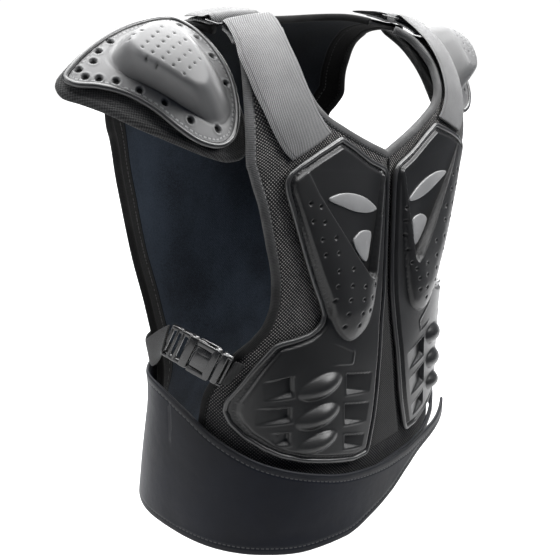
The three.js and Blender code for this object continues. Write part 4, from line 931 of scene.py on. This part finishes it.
def panelPieces(name, torso, edge, material):
    # outline in flattened distances: up the right arm edge, over the tab, along the neck and down again
    stations, widths = np.array(edge["arm"], float).T
    armV = np.linspace(stations.min(), stations.max(), 420)
    armX = curveAt(stations, widths, armV)
    knots = np.array([(row[1], row[0]) for row in edge["neck"]], float)[::-1]
    t = np.linspace(0, len(knots) - 1, 200)
    neckX, neckV = rowsAt(knots, 0, t), rowsAt(knots, 1, t)
    neckX[0] = 0
    armA, armS = torso.flat(armX, armV)
    neckA, neckS = torso.flat(neckX, neckV)
    right = np.stack((-armA, armS), axis=1)
    rightNeck = np.stack((-neckA, neckS), axis=1)[::-1]
    leftNeck = np.stack((neckA, neckS), axis=1)[1:]
    left = np.stack((armA, armS), axis=1)[::-1]
    outline = np.vstack((right, rightNeck, leftNeck, left))[::2]
    points, quads, distance, _ = latticeOver(outline, panelStyle["inset"], 2.6 if fine else 4.0)
    u, v = torso.unflat(points[:, 0], points[:, 1])
    away = np.full(len(points), 1e3)
    run = np.zeros(len(points))
    for line in (right[::2], left[::2]):
        for start in range(0, len(points), panelStyle["chunk"]):
            part = slice(start, start + panelStyle["chunk"])
            gaps = np.linalg.norm(points[part, None, :] - line[None, :, :], axis=2)
            near = gaps.min(axis=1)
            closer = near < away[part]
            away[part][closer] = near[closer]
            run[part][closer] = line[gaps.argmin(axis=1), 1][closer]
    half = panelStyle["half"] * smooth((distance - 3.0) / 5)
    puff = panelStyle["puff"] * smooth((distance - panelStyle["inset"]) / 6)
    top, under = panelStyle["middle"] + half + puff, panelStyle["middle"] - half
    mesh, faces = slabOver(torso, (u, v), quads, under, top)
    values = {"edge": onBoth(away), "along": onBoth(run), "outside": onTop(np.ones(len(points)))}
    panel = makeMesh(name + "Panel", mesh, faces, np.vstack((points, points)), values)
    dress(panel, finishes[material], [name + "_panel"])

    def tape(title, xs, vs, nodes, mirror=False):
        # an oval carried along an edge, half its width inside it
        turn, vs = inset(torso, torso.turnAt(xs, vs), vs, torso.flip * tapeHalfWidth)
        path, side, up = frameAlong(torso, turn, vs, panelStyle["middle"])
        profile = ovalProfile(tapeHalfWidth, tapeHalfHeight, 20, 2.6)
        mesh, faces, uv = sweep(path, side * torso.flip, up, profile)
        across = np.append(np.tile(profile[:, 0] / tapeHalfWidth, len(path)), (0, 0))
        piece = makeMesh(title, mesh, faces, uv, {"across": across}, mirror=mirror)
        dress(piece, finishes["tape" if name == "front" else "backTape"], nodes)

    armEven = evenly(armA, armS, 260)
    uArm, vArm = torso.unflat(-armEven[0], armEven[1])
    xArm = torso.point(uArm, vArm)[:, 0]
    tape(name + "ArmTapeRight", xArm, vArm, [name + "_arm_tape_right"])
    tape(name + "ArmTapeLeft", xArm, vArm, [name + "_arm_tape_left"], True)
    neck = np.vstack((rightNeck, leftNeck))
    neckEven = evenly(neck[:, 0], neck[:, 1], 240)
    uNeck, vNeck = torso.unflat(neckEven[0], neckEven[1])
    tape(name + "NeckTape", torso.point(uNeck, vNeck)[:, 0], vNeck, [name + "_neck_tape"])


panelPieces("front", front, frontEdge, "mesh")
panelPieces("back", back, backEdge, "lining")
print("panels made")


# chest plates
plateStyle = {"step": 1.0, "shieldRise": 9.0, "bumpRise": 7.0, "ventRadius": 1.45, "pocket": 4.8, "stitch": 6.0}


def plateOutline():
    # down the outer edge and up the inner edge of the table's rows
    z = np.linspace(plateRows[0, 0], plateRows[-1, 0], 500)
    outer = np.interp(-z, -plateRows[:, 0], plateRows[:, 1])
    inner = np.interp(-z, -plateRows[:, 0], plateRows[:, 2])
    return np.vstack((np.stack((outer, z), axis=1), np.stack((inner, z), axis=1)[::-1]))


def wedgeDepth(points):
    # depth = least of (distance inside each edge) x (that edge's slope) and the floor from shallow to deep
    depth, border = np.zeros(len(points)), np.zeros(len(points))
    middle = [np.mean(corners, axis=0) for corners in cells]
    for (a, b, c, d), centre in zip(cells, middle):
        start, end = (np.array(a) + b) / 2, (np.array(c) + d) / 2
        way = end - start
        share = np.clip((points - start) @ way / (way @ way), 0, 1)
        floor = plateStyle["pocket"] * share
        inside = np.full(len(points), 1e3)
        for p, q, slope in ((a, c, 4.0), (c, d, 5.0), (d, b, 0.95), (b, a, 4.0)):
            run = (np.array(q, float) - p) / np.linalg.norm(np.array(q, float) - p)
            normal = np.array((-run[1], run[0]))
            normal *= np.sign((centre - p) @ normal)
            away = (points - p) @ normal
            inside = np.minimum(inside, away)
            floor = np.minimum(floor, np.maximum(away, 0) * slope)
        depth = np.maximum(depth, floor)
        border = np.maximum(border, np.exp(-((inside + 0.7) / 0.7) ** 2) * smooth(share / 0.5))
    return depth, border


def roundedCorners(corners, radius):
    # cuts each corner back and puts three points on the curve there
    corners = np.asarray(corners, float)
    line = []
    for before, corner, after in zip(np.roll(corners, 1, axis=0), corners, np.roll(corners, -1, axis=0)):
        p = corner + (before - corner) / np.linalg.norm(before - corner) * radius
        q = corner + (after - corner) / np.linalg.norm(after - corner) * radius
        for t in (0, 0.33, 0.67, 1):
            line.append((1 - t) ** 2 * p + 2 * t * (1 - t) * corner + t * t * q)
    return np.array(line)


def plateRelief(points, distance):
    # flange, body, shield with its V recess, ovals and wedge pockets as heights over the torso
    x, z = points.T
    body = smooth((distance - 7.2) / 1.8)
    height = flangeTop + (bodyTop - flangeTop) * body
    shieldAway, _ = polygonDistance(points, roundOutline(shieldOutline, 160))
    recessAway, _ = polygonDistance(points, recess)
    lift = curveAt(shieldLift[:, 0], shieldLift[:, 1], z)
    roll = np.sqrt(np.clip(1 - (1 - np.clip(shieldAway / 24, 0, 1)) ** 2, 0, 1))
    roll = 0.12 * smooth(shieldAway / 1.6) + 0.88 * roll
    cut = smooth((-recessAway + 0.2) / 1.6)
    shield = plateStyle["shieldRise"] * lift * roll * cut * (shieldAway > 0)
    height = height + shield + 0.5 * smooth(shieldAway / 1.2) * cut
    for bx, bz, long, high, tilt in bumpRows:
        c, s = math.cos(math.radians(tilt)), math.sin(math.radians(tilt))
        a, b = ((x - bx) * c + (z - bz) * s) / long, (-(x - bx) * s + (z - bz) * c) / high
        r = np.hypot(a, b)
        height = height + plateStyle["bumpRise"] * np.clip(1 - r ** 2, 0, 1) ** 0.95
    depth, border = wedgeDepth(points)
    height = height - depth + 0.5 * border
    chevronAway, _ = polygonDistance(points, roundedCorners(chevron, 1.5))
    ridge = np.exp(-(chevronAway / 0.8) ** 2) * smooth((86 - x) / 14)
    height = height + 0.7 * ridge
    gaps = np.linalg.norm(points[:, None, :] - vents[None, :, :], axis=2).min(axis=1)
    # painted shade mask for the dark inside of the vents
    pit = smooth((plateStyle["ventRadius"] + 0.45 - gaps) / 0.8)
    height = height - 2.2 * pit
    # crest mask for the painted highlight with wear on ridges, pocket borders, the recess rim and the shield's edge
    crest = np.maximum(ridge, border * 0.6)
    crest = np.maximum(crest, np.exp(-((recessAway + 0.6) / 1.0) ** 2) * (shieldAway > 1))
    crest = np.maximum(crest, np.exp(-((shieldAway - 1.2) / 1.2) ** 2) * 0.5)
    return height, pit, np.clip(crest, 0, 1)


def makePlates():
    # the relief as a slab over the front, its pits (painted shade), crests (painted highlight with wear), stitches
    # and seam kept as values for the material
    outline = plateOutline()
    points, quads, distance, along = latticeOver(outline, 3.2, plateStyle["step"] if fine else 1.6)
    height, pit, crest = plateRelief(points, distance)
    u, v = front.locate(-points[:, 0], points[:, 1])
    mesh, faces = slabOver(front, (u, v), quads, np.full(len(u), plateBack), height)
    fromStitch = np.abs(distance - plateStyle["stitch"])
    values = {"pit": pit, "crest": crest, "stitch": smooth((0.6 - fromStitch) / 0.4),
              "seam": smooth((1.5 - fromStitch) / 0.9), "along": along}
    values = {key: onTop(value) for key, value in values.items()}
    uv = np.vstack((points, points))
    pairOf("chestPlate", mesh, faces, uv, values, "plate", "chest_plate")
    # piping bead round the plate
    x, z = evenly(*offsetLine(outline, pipeRadius).T, 520, True)
    u, v = front.locate(-x, z)
    path, side, up = frameAlong(front, u, v, plateBack + pipeRadius, True)
    mesh, faces, uv = sweep(path, side, up, ovalProfile(pipeRadius, pipeRadius, 14), True)
    pairOf("chestPiping", mesh, faces, uv, None, "piping", "chest_piping")


def offsetLine(outline, distance):
    # walks the line that keeps a distance inside an outline, by pulling points in along the gradient
    x, z = evenly(outline[:, 0], outline[:, 1], 700, True)
    spots = np.stack((x, z), axis=1)
    centre = spots.mean(axis=0)
    spots += (centre - spots) * 1e-3
    for _ in range(12):
        away, _ = polygonDistance(spots, outline)
        gradient = distanceSlope(spots, outline, 0.4)
        size = np.maximum(np.linalg.norm(gradient, axis=1, keepdims=True), 0.5)
        spots += gradient / size * (distance - away)[:, None] * 0.7
        spots = 0.5 * spots + 0.25 * (np.roll(spots, 1, axis=0) + np.roll(spots, -1, axis=0))
    return spots


def makeWindow(name, outline, node, count=120):
    # a shallow lens: rings from the middle out to the rounded outline
    ring = roundOutline(outline, count)
    centre = ring.mean(axis=0)
    shares = np.concatenate((np.linspace(0.08, 0.9, 9), (0.96, 1.0)))
    points = np.vstack((centre, (centre + (ring - centre)[None] * shares[:, None, None]).reshape(-1, 2)))
    share = np.concatenate(([0], np.repeat(shares, count)))
    k = np.arange(count)
    faces = [np.stack((np.zeros(count, int), 1 + k, 1 + (k + 1) % count), axis=1)]
    for r in range(len(shares) - 1):
        a, b = 1 + r * count, 1 + (r + 1) * count
        faces.append(np.stack((a + k, b + k, b + (k + 1) % count, a + (k + 1) % count), axis=1))
    top = bodyTop + 1.1 + 0.9 * np.sqrt(1 - share ** 2)
    under = np.full(len(points), bodyTop - 0.6)
    u, v = front.locate(-points[:, 0], points[:, 1])
    n = len(points)
    rim = 1 + (len(shares) - 1) * count
    wall = np.stack((rim + (k + 1) % count, rim + k, rim + k + n, rim + (k + 1) % count + n), axis=1)
    mesh = np.vstack((front.lift(u, v, top), front.lift(u, v, under)))
    faces = faces + [f[:, ::-1] + n for f in faces] + [wall]
    pairOf(name, mesh, faces, np.vstack((points, points)), None, "insert", node)


makePlates()
makeWindow("eyeWindow", eyeOutline, "eye_window")
makeWindow("lowerWindow", lowerOutline, "lower_window")


def makeStrip():
    # width from the table's rows, crowned across like the sixth power of the share
    z = np.linspace(-104, -384, 220)
    half = np.interp(-z, -stripRows[:, 0], stripRows[:, 1])
    shares = np.linspace(-1, 1, 15)
    x = half[:, None] * shares[None, :]
    u, v = front.locate(x, z[:, None])
    bulge = np.sqrt(np.clip(1 - np.abs(shares) ** 6, 0, 1))[None, :] * np.ones_like(u)
    top, under = front.lift(u, v, 6.0 + bulge), front.lift(u, v, 6.0 - bulge * 0.5)
    mesh, faces = closeGrid(top, under)
    uv = np.stack((x, z[:, None] + 0 * x), axis=-1).reshape(-1, 2)
    strip = makeMesh("centreStrip", mesh, faces, np.vstack((uv, uv)))
    dress(strip, finishes["strip"], ["centre_strip"])


def closeGrid(top, under):
    # two skins of one grid with a wall round all four sides
    rows, columns = top.shape[:2]
    index = np.arange(rows * columns).reshape(rows, columns)
    quads = np.stack((index[:-1, :-1], index[1:, :-1], index[1:, 1:], index[:-1, 1:]), axis=-1).reshape(-1, 4)
    n = rows * columns
    edge = borderOf(quads)
    wall = np.stack((edge[:, 1], edge[:, 0], edge[:, 0] + n, edge[:, 1] + n), axis=1)
    return np.vstack((top.reshape(-1, 3), under.reshape(-1, 3))), [quads, quads[:, ::-1] + n, wall]


makeStrip()
print("plates made")


# straps, loops and rings
underLayer = 8


def foldedWeb(name, torso, rows, returnFrom, node):
    # the web runs along the rows, turns half a circle at the last row and comes back underneath
    half = (rows[-1, 3] - underLayer) / 2
    at = rows[:, 0]
    main = np.linspace(at[0], at[-1], 90)
    lay = [(s, curveAt(at, rows[:, 3], np.array([s]))[0], 0, curveAt(at, rows[:, 4], np.array([s]))[0]) for s in main]
    for angle in np.linspace(0, math.pi, 14)[1:-1]:
        lay.append((at[-1], underLayer + half + half * math.cos(angle), half * math.sin(angle), rows[-1, 4]))
    lay += [(s, underLayer, 0, rows[-1, 4]) for s in np.linspace(at[-1], returnFrom, 16)]
    lay = np.array(lay)
    shares = 0.5 - 0.5 * np.cos(np.linspace(0, math.pi, 41))
    station = lay[:, 0][:, None]
    inner, outer = (curveAt(at, rows[:, k], station) for k in (1, 2))
    v = station + lay[:, 3][:, None] * (0.5 - shares[None, :])
    x = inner + (outer - inner) * shares[None, :]
    u = torso.turnAt(-x, v)
    _, up, normal = torso.slopes(u, v)
    up /= np.linalg.norm(up, axis=-1, keepdims=True)
    grid = torso.point(u, v) + normal * lay[:, 1][:, None, None] + up * lay[:, 2][:, None, None]
    across = np.gradient(grid, axis=1)
    down = np.gradient(grid, axis=0)
    face = np.cross(down, across)
    face /= np.linalg.norm(face, axis=-1, keepdims=True)
    pinch = (webThick / 2) * np.clip(1 - np.abs(2 * shares - 1) ** 14, 0.25, 1)[None, :, None]
    mesh, faces = closeGrid(grid + face * pinch, grid - face * pinch)
    run = np.concatenate(([0], np.cumsum(np.linalg.norm(np.diff(grid[:, 20], axis=0), axis=1))))
    wide = np.linalg.norm(grid[:, -1] - grid[:, 0], axis=1).mean()
    uv = np.stack(np.broadcast_arrays(run[:, None], shares[None, :] * wide), axis=-1).reshape(-1, 2)
    values = {"across": onBoth(np.tile(2 * shares - 1, len(lay)))}
    pairOf(name, mesh, faces, np.vstack((uv, uv)), values, "web", node)


foldedWeb("shoulderStrap", front, strapRows, 11, "shoulder_strap")
foldedWeb("yokeLoop", back, loopRows, 14.4, "yoke_loop")


def makeRings():
    # a rounded rectangle of thin bar through both folds, as wide as the folds lie apart
    def fold(torso, rows, share):
        last = rows[-1]
        x = last[1] + (last[2] - last[1]) * share
        v = np.array([last[0] + last[4] * (0.5 - share)])
        u = torso.turnAt(np.array([-x]), v)
        return torso.lift(u, v, np.array([(last[3] + underLayer) / 2]))[0]
    near, far = fold(front, strapRows, 0.5), fold(back, loopRows, 0.5)
    long = fold(front, strapRows, 0) - fold(front, strapRows, 1) + fold(back, loopRows, 0) - fold(back, loopRows, 1)
    long /= np.linalg.norm(long)
    between = far - near
    up = np.cross(long, between)
    up /= np.linalg.norm(up)
    across = np.cross(up, long)
    deep = between @ across / 2
    corner, half = 2.6, 30.3
    path = []
    for sx, sy, start in ((1, 1, 0), (-1, 1, 90), (-1, -1, 180), (1, -1, 270)):
        for a in np.radians(np.linspace(start, start + 90, 9)):
            path.append((sx * (half - corner) + corner * math.cos(a), sy * (deep - corner) + corner * math.sin(a)))
    path = np.array(path)
    x, y = evenly(path[:, 0], path[:, 1], 160, True)
    spots = (near + far) / 2 + x[:, None] * long + y[:, None] * across
    ahead = np.roll(spots, -1, axis=0) - np.roll(spots, 1, axis=0)
    ahead /= np.linalg.norm(ahead, axis=1, keepdims=True)
    ups = np.tile(up, (len(spots), 1))
    mesh, faces, uv = sweep(spots, np.cross(ahead, ups), ups, ovalProfile(0.75, 0.75, 12, 3), True)
    pairOf("strapRing", mesh, faces, uv, None, "buckle", "strap_ring")


makeRings()
print("straps made")


# shoulder caps and pads
capStyle = {"step": 1.0, "thick": 2.6, "holeRadius": 2.5, "padThick": 8.5, "padRelief": 2.6, "pinRadius": 0.75,
            "stitch": 6.2}
capPins = np.array([
    (-27, -25), (-15, -7), (-6, -15.5), (-10, 1), (-3, -8), (3, -20), (-10, 7.5), (-1, -1), (4.5, -12),
    (11, -24), (-9, 13), (1, 6), (6.5, -5), (12.5, -16.5), (3, 12.5), (8.5, 2), (14, -8.5), (20.5, -20),
    (10, 9), (16, -1.5), (22.5, -12.5), (28.5, -23.5), (10.5, 14.5), (17.5, 5.5), (24, -5),
    (30.5, -16), (18, 11), (25.5, 2), (32, -9), (34, -1.5)])


def makeCaps():
    # a skin over the shoulder surface with raised lips round its holes, pins and a groove at the dome's foot
    outline = roundOutline(capOutline, 300)
    points, quads, distance, along = latticeOver(outline, 3.0, capStyle["step"] if fine else 1.6)
    p, q = points.T
    gaps = np.linalg.norm(points[:, None, :] - rimHoles[None], axis=2).min(axis=1)
    # hole and pin dimples are painted dark as shade through the pit value
    hole = smooth((capStyle["holeRadius"] + 0.4 - gaps) / 0.8)
    lip = np.exp(-((gaps - capStyle["holeRadius"] - 1.2) / 0.7) ** 2)
    pins = np.linalg.norm(points[:, None, :] - capPins[None], axis=2).min(axis=1)
    pin = smooth((capStyle["pinRadius"] + 0.4 - pins) / 0.8)
    groove = np.exp(-((domeShare(p, q) - 1.04) / 0.025) ** 2)
    height = capStyle["thick"] + 0.5 * lip - 2.4 * hole - 1.5 * pin - 0.7 * groove
    mesh, faces = slabOver(shoulder, (p, q), quads, np.zeros(len(p)), height)
    fromStitch = np.abs(distance - capStyle["stitch"])
    seam = smooth((1.5 - fromStitch) / 1.2) * 0.5
    # the lips' crest values carry painted highlight with wear; the pit values carry painted shade
    values = {"pit": np.maximum(hole, pin), "crest": np.clip(lip * 0.4, 0, 1),
              "stitch": smooth((0.75 - fromStitch) / 0.4), "seam": np.clip(seam + groove * 0.3, 0, 1), "along": along}
    values = {key: onTop(value) for key, value in values.items()}
    pairOf("shoulderCap", mesh, faces, np.vstack((points, points)), values, "cap", "shoulder_cap")
    ring = offsetLine(outline, pipeRadius)
    a, b = evenly(ring[:, 0], ring[:, 1], 420, True)
    path, side, up = frameAlong(shoulder, a, b, pipeRadius, True)
    mesh, faces, uv = sweep(path, side, up, ovalProfile(pipeRadius, pipeRadius, 14), True)
    pairOf("capPiping", mesh, faces, uv, None, "piping", "cap_piping")


def makePads():
    # a foam flap whose two skins meet in a soft rolled edge
    outline = roundOutline(padOutline, 260)
    points, quads, distance, _ = latticeOver(outline, 0.05, 1.5 if fine else 2.5)
    p, q = points.T
    half = capStyle["padThick"] / 2
    roll = np.sqrt(np.clip(1 - (1 - np.clip(distance / 4.6, 0, 1)) ** 2, 0, 1))
    middle = -capStyle["padRelief"] - half
    groove = 0.9 * np.exp(-((distance - 6.8) / 1.0) ** 2)
    top = middle + half * roll - groove
    under = middle - half * roll + groove
    mesh, faces = slabOver(shoulder, (p, q), quads, under, top)
    uv = np.vstack((points, points))
    for pad in pairOf("shoulderPad", mesh, faces, uv, None, "pad", "shoulder_pad"):
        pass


makeCaps()
makePads()
print("shoulder caps made")


# waist belt
beltStyle = {"thick": 3.5, "rise": panelThick + 2.3, "wind": 4.9, "tip": 7.0, "rows": 26, "stops": 720}


def makeBelt():
    # a strip wound once and a bit round the girth; its height over the body grows along the winding
    turns = np.linspace(beltRows[0, 0], beltRows[-1, 0], beltStyle["stops"] if fine else 260)
    top = curveAt(beltRows[:, 0], beltRows[:, 1], turns)
    bottom = curveAt(beltRows[:, 0], beltRows[:, 2], turns)
    shares = 0.5 - 0.5 * np.cos(np.linspace(0, math.pi, beltStyle["rows"]))
    z = bottom[:, None] + (top - bottom)[:, None] * shares[None, :]
    u = np.radians(turns)[:, None] + 0 * z
    wound = ((turns - turns[0]) / (turns[-1] - turns[0]))[:, None]
    low = beltStyle["rise"] + beltStyle["wind"] * wound + beltStyle["tip"] * smooth((wound - 0.93) / 0.07)
    tall = (top - bottom)[:, None]
    edge = np.minimum(shares * tall, (1 - shares) * tall)
    roll = np.sqrt(np.clip(1 - (1 - np.clip(edge / 1.8, 0, 1)) ** 2, 0.02, 1))
    half = beltStyle["thick"] / 2 * roll
    middle = low + beltStyle["thick"] / 2 + 0 * z
    outer, inner = girth.lift(u, z, middle + half), girth.lift(u, z, middle - half)
    mesh, faces = closeGrid(outer, inner)
    mid = girth.lift(u, z, middle)[:, len(shares) // 2]
    run = np.concatenate(([0], np.cumsum(np.linalg.norm(np.diff(mid, axis=0), axis=1))))
    uv = np.stack(np.broadcast_arrays(run[:, None], z), axis=-1).reshape(-1, 2)
    ends = np.minimum(run, run[-1] - run)[:, None]
    away = np.minimum(edge, ends + 0 * edge).reshape(-1)
    belt = makeMesh("waistBelt", mesh, faces, np.vstack((uv, uv)), {"edge": onBoth(away)})
    dress(belt, finishes["belt"], ["waist_belt"])


makeBelt()
print("belt made")


# buckles and side webbing
buckle = {"middle": (-184, 9.5, -259.5), "along": (-25, 52, 28), "out": (-0.93, -0.36, 0),
          "wide": 32.0, "thick": 9.0, "socket": 33.0, "plug": 27.0, "web": 25.0}
along = np.array(buckle["along"], float) / np.linalg.norm(buckle["along"])
outward = np.array(buckle["out"], float) / np.linalg.norm(buckle["out"])
sideways = np.cross(outward, along)
sideways /= np.linalg.norm(sideways)
facing = np.cross(along, sideways)


def roundedBlock(centre, size, radius, tilt=0.0, count=7):
    # a box whose surface grid is pulled onto balls at its corners
    half = np.array(size, float) / 2
    core = half - radius
    t = np.tan(np.linspace(-math.pi / 4, math.pi / 4, count))
    sheets = []
    a, b = np.meshgrid(t, t, indexing="ij")
    for axis in range(3):
        for sign in (1, -1):
            cube = np.zeros((count, count, 3))
            cube[..., axis] = sign
            cube[..., (axis + 1) % 3], cube[..., (axis + 2) % 3] = a * sign, b
            sheets.append(cube)
    points = np.concatenate([s.reshape(-1, 3) for s in sheets])
    ball = points / np.linalg.norm(points, axis=1, keepdims=True)
    spots = np.sign(np.where(np.abs(points) > 0.2, points, 0)) * core + ball * radius
    index = np.arange(count * count).reshape(count, count)
    quad = np.stack((index[:-1, :-1], index[1:, :-1], index[1:, 1:], index[:-1, 1:]), axis=-1).reshape(-1, 4)
    faces = np.concatenate([quad + k * count * count for k in range(6)])
    c, s = math.cos(tilt), math.sin(tilt)
    x, y = spots[:, 0] * c - spots[:, 1] * s, spots[:, 0] * s + spots[:, 1] * c
    spots = np.stack((x, y, spots[:, 2]), axis=1) + np.array(centre, float)
    _, first, number = np.unique(np.round(spots, 4), axis=0, return_index=True, return_inverse=True)
    faces = number.ravel()[faces]
    return spots[first], faces


def blockPiece(name, blocks, node):
    # rounded blocks in the buckle's own directions: along, sideways, facing
    points, faces, start = [], [], 0
    for block in blocks:
        spots, quads = roundedBlock(*block)
        place = (np.array(buckle["middle"]) + spots[:, :1] * along + spots[:, 1:2] * sideways + spots[:, 2:] * facing)
        points.append(place)
        faces.append(quads + start)
        start += len(place)
    pairOf(name, np.vstack(points), [np.vstack(faces)], None, None, "buckle", node)


def makeBuckles():
    # each block: its centre, its size and the radius of its corners, a prong also its tilt
    w, t = buckle["wide"], buckle["thick"]
    socket = [
        ((-9.5, 0, 0), (18.6, w - 11, t), 2.2), ((-18, 0, 0), (8, w, t), 2.4),
        ((-26, 0, 0), (7, w - 1, t * 0.8), 2.0),
        ((-10, w / 2 - 2.5, t / 2 - 1.4), (20, 5, 2.6), 1.0), ((-10, -w / 2 + 2.5, t / 2 - 1.4), (20, 5, 2.6), 1.0),
        ((-10, w / 2 - 2.5, -t / 2 + 1.4), (20, 5, 2.6), 1.0), ((-10, -w / 2 + 2.5, -t / 2 + 1.4), (20, 5, 2.6), 1.0),
        ((-9, 0, t / 2 - 0.4), (13, 11, 1.6), 0.6), ((-32, 0, 0), (2.4, w - 2, 3.4), 1.1),
        ((-29, w / 2 - 2, 0), (9, 3, 4.5), 1.2), ((-29, -w / 2 + 2, 0), (9, 3, 4.5), 1.2)]
    prongs = [
        ((-3, w / 2 - 2.6, 0), (16, 4.0, 3.6), 1.5, 0.05), ((-3, -w / 2 + 2.6, 0), (16, 4.0, 3.6), 1.5, -0.05)]
    plug = prongs + [
        ((5, 0, 0), (8.6, w, t * 0.85), 2.2), ((10.5, w / 2 - 2.2, 0), (14, 4.2, t * 0.6), 1.5),
        ((10.5, -w / 2 + 2.2, 0), (14, 4.2, t * 0.6), 1.5), ((14.5, 0, 0.6), (3.2, w - 3, t * 0.5), 1.3),
        ((20, w / 2 - 2.2, 0), (12, 4.0, t * 0.55), 1.4), ((20, -w / 2 + 2.2, 0), (12, 4.0, t * 0.55), 1.4),
        ((25.2, 0, -0.4), (3.2, w - 1, t * 0.5), 1.4), ((19.8, 0, 1.6), (2.6, w - 3, 2.6), 1.1)]
    blockPiece("buckleSocket", socket, "buckle_socket")
    blockPiece("bucklePlug", plug, "buckle_plug")


def webThrough(name, spots, widths, node):
    # a flat web whose middle line is a smooth curve through the given spots
    knots = np.array(spots, float)
    t = np.linspace(0, len(knots) - 1, 90)
    path = np.stack([rowsAt(knots, k, t) for k in range(3)], axis=1)
    side = np.stack([rowsAt(np.array(widths, float), k, t) for k in range(3)], axis=1)
    ahead = np.gradient(path, axis=0)
    ahead /= np.linalg.norm(ahead, axis=1, keepdims=True)
    side -= np.einsum("ij,ij->i", side, ahead)[:, None] * ahead
    side /= np.linalg.norm(side, axis=1, keepdims=True)
    face = np.cross(side, ahead)
    shares = np.linspace(-1, 1, 25)
    grid = path[:, None, :] + side[:, None, :] * (shares * buckle["web"] / 2)[None, :, None]
    pinch = (webThick / 2) * np.clip(1 - np.abs(shares) ** 12, 0.3, 1)[None, :, None]
    mesh, faces = closeGrid(grid + face[:, None, :] * pinch, grid - face[:, None, :] * pinch)
    run = np.concatenate(([0], np.cumsum(np.linalg.norm(np.diff(path, axis=0), axis=1))))
    uv = np.stack(np.broadcast_arrays(run[:, None], shares[None, :] * buckle["web"] / 2), axis=-1).reshape(-1, 2)
    values = {"across": onBoth(np.tile(shares, len(path)))}
    pairOf(name, mesh, faces, np.vstack((uv, uv)), values, "sideWeb", node)


def makeSideWebs():
    # from the buckle's two ends to the front panel and round to the back panel
    middle = np.array(buckle["middle"], float)

    def onTorso(torso, top, low, rise):
        # the spot midway between two places on a torso, lifted, and the way from low to top
        (u1, v1), (u2, v2) = torso.locate(*map(np.array, top)), torso.locate(*map(np.array, low))
        a, b = torso.point(u1, v1), torso.point(u2, v2)
        u, v = np.array([(u1 + u2) / 2]), np.array([(v1 + v2) / 2])
        return torso.lift(u, v, np.array([rise]))[0], (a - b) / np.linalg.norm(a - b)
    up = -sideways if sideways[2] < 0 else sideways
    start = middle - along * (buckle["socket"] + 1.5)
    spot, way = onTorso(front, (-149.5, -267.0), (-158.5, -290.5), 8.0)
    webThrough("sideStrapFront", [start, (start + spot) / 2, spot], [up, (up + way) / 2, way], "side_strap_front")
    rows = [((-167.0, -260.0), (-167.0, -284.0), 11), ((-160.0, -268.0), (-160.0, -292.0), 8.6),
            ((-150.0, -271.0), (-150.0, -295.0), 8.2), ((-138.0, -272.0), (-138.0, -296.0), 8.1),
            ((-122.0, -272.0), (-122.0, -296.0), 7.0)]
    spots, ways = zip(*(onTorso(back, *row) for row in rows))
    start = middle + along * (buckle["plug"] + 0.8)
    webThrough("sideStrapBack", [start, *spots], [up, *ways], "side_strap_back")


makeBuckles()
makeSideWebs()
print("buckles made")

# stage
placeCamera()
for row in (("topLight", (0.1, 0.25, 2.2), (0, 0.1, -0.2), 260, (3.0, 3.0)),
            ("frontLight", (0.75, -1.0, 0.75), (-0.15, 0, -0.05), 30, (0.8, 0.8)),
            ("backdropLight", (4.2, 3.5, 3.2), (4.1, 3.4, -0.6), 1200, (7.0, 7.0)),
            ("leftLight", (-2.3, 0.9, 0.7), (0, 0, -0.2), 22, (0.8, 1.8)),
            ("rightLight", (2.2, 0.9, 0.6), (0, 0, -0.2), 22, (0.8, 1.8))):
    addLight(*row)


def makeWorld():
    # white where the camera looks, a dim room elsewhere
    world = bpy.data.worlds.new("studio")
    scene.world = world
    world.use_nodes = True
    tree = world.node_tree
    root = Wire(tree, None)
    way = root.make("ShaderNodeTexCoord")
    ahead = root.make("ShaderNodeVectorMath", {"operation": "DOT_PRODUCT"}, (way, view["forward"]), 1)
    inputs = {0: ahead.step(0.80, 0.92), 6: grey(0.06, (0.8, 0.95, 1.35)), 7: grey(1.05)}
    colour = root.make("ShaderNodeMix", {"data_type": "RGBA"}, inputs, 2)
    tree.links.new(colour.socket, tree.nodes["Background"].inputs[0])


makeWorld()
corners = np.array([(-4, -0.45), (7, -0.45), (7.5, 6.3), (-4, 6.3)]) * 1000
rim = np.column_stack((corners, np.full(4, floorHeight * 1000)))
floor = makeMesh("floor", rim, [np.arange(4)[None]], None, None, False)
floor.data.materials.append(paleFloor())
scene.view_settings.view_transform = "Standard"
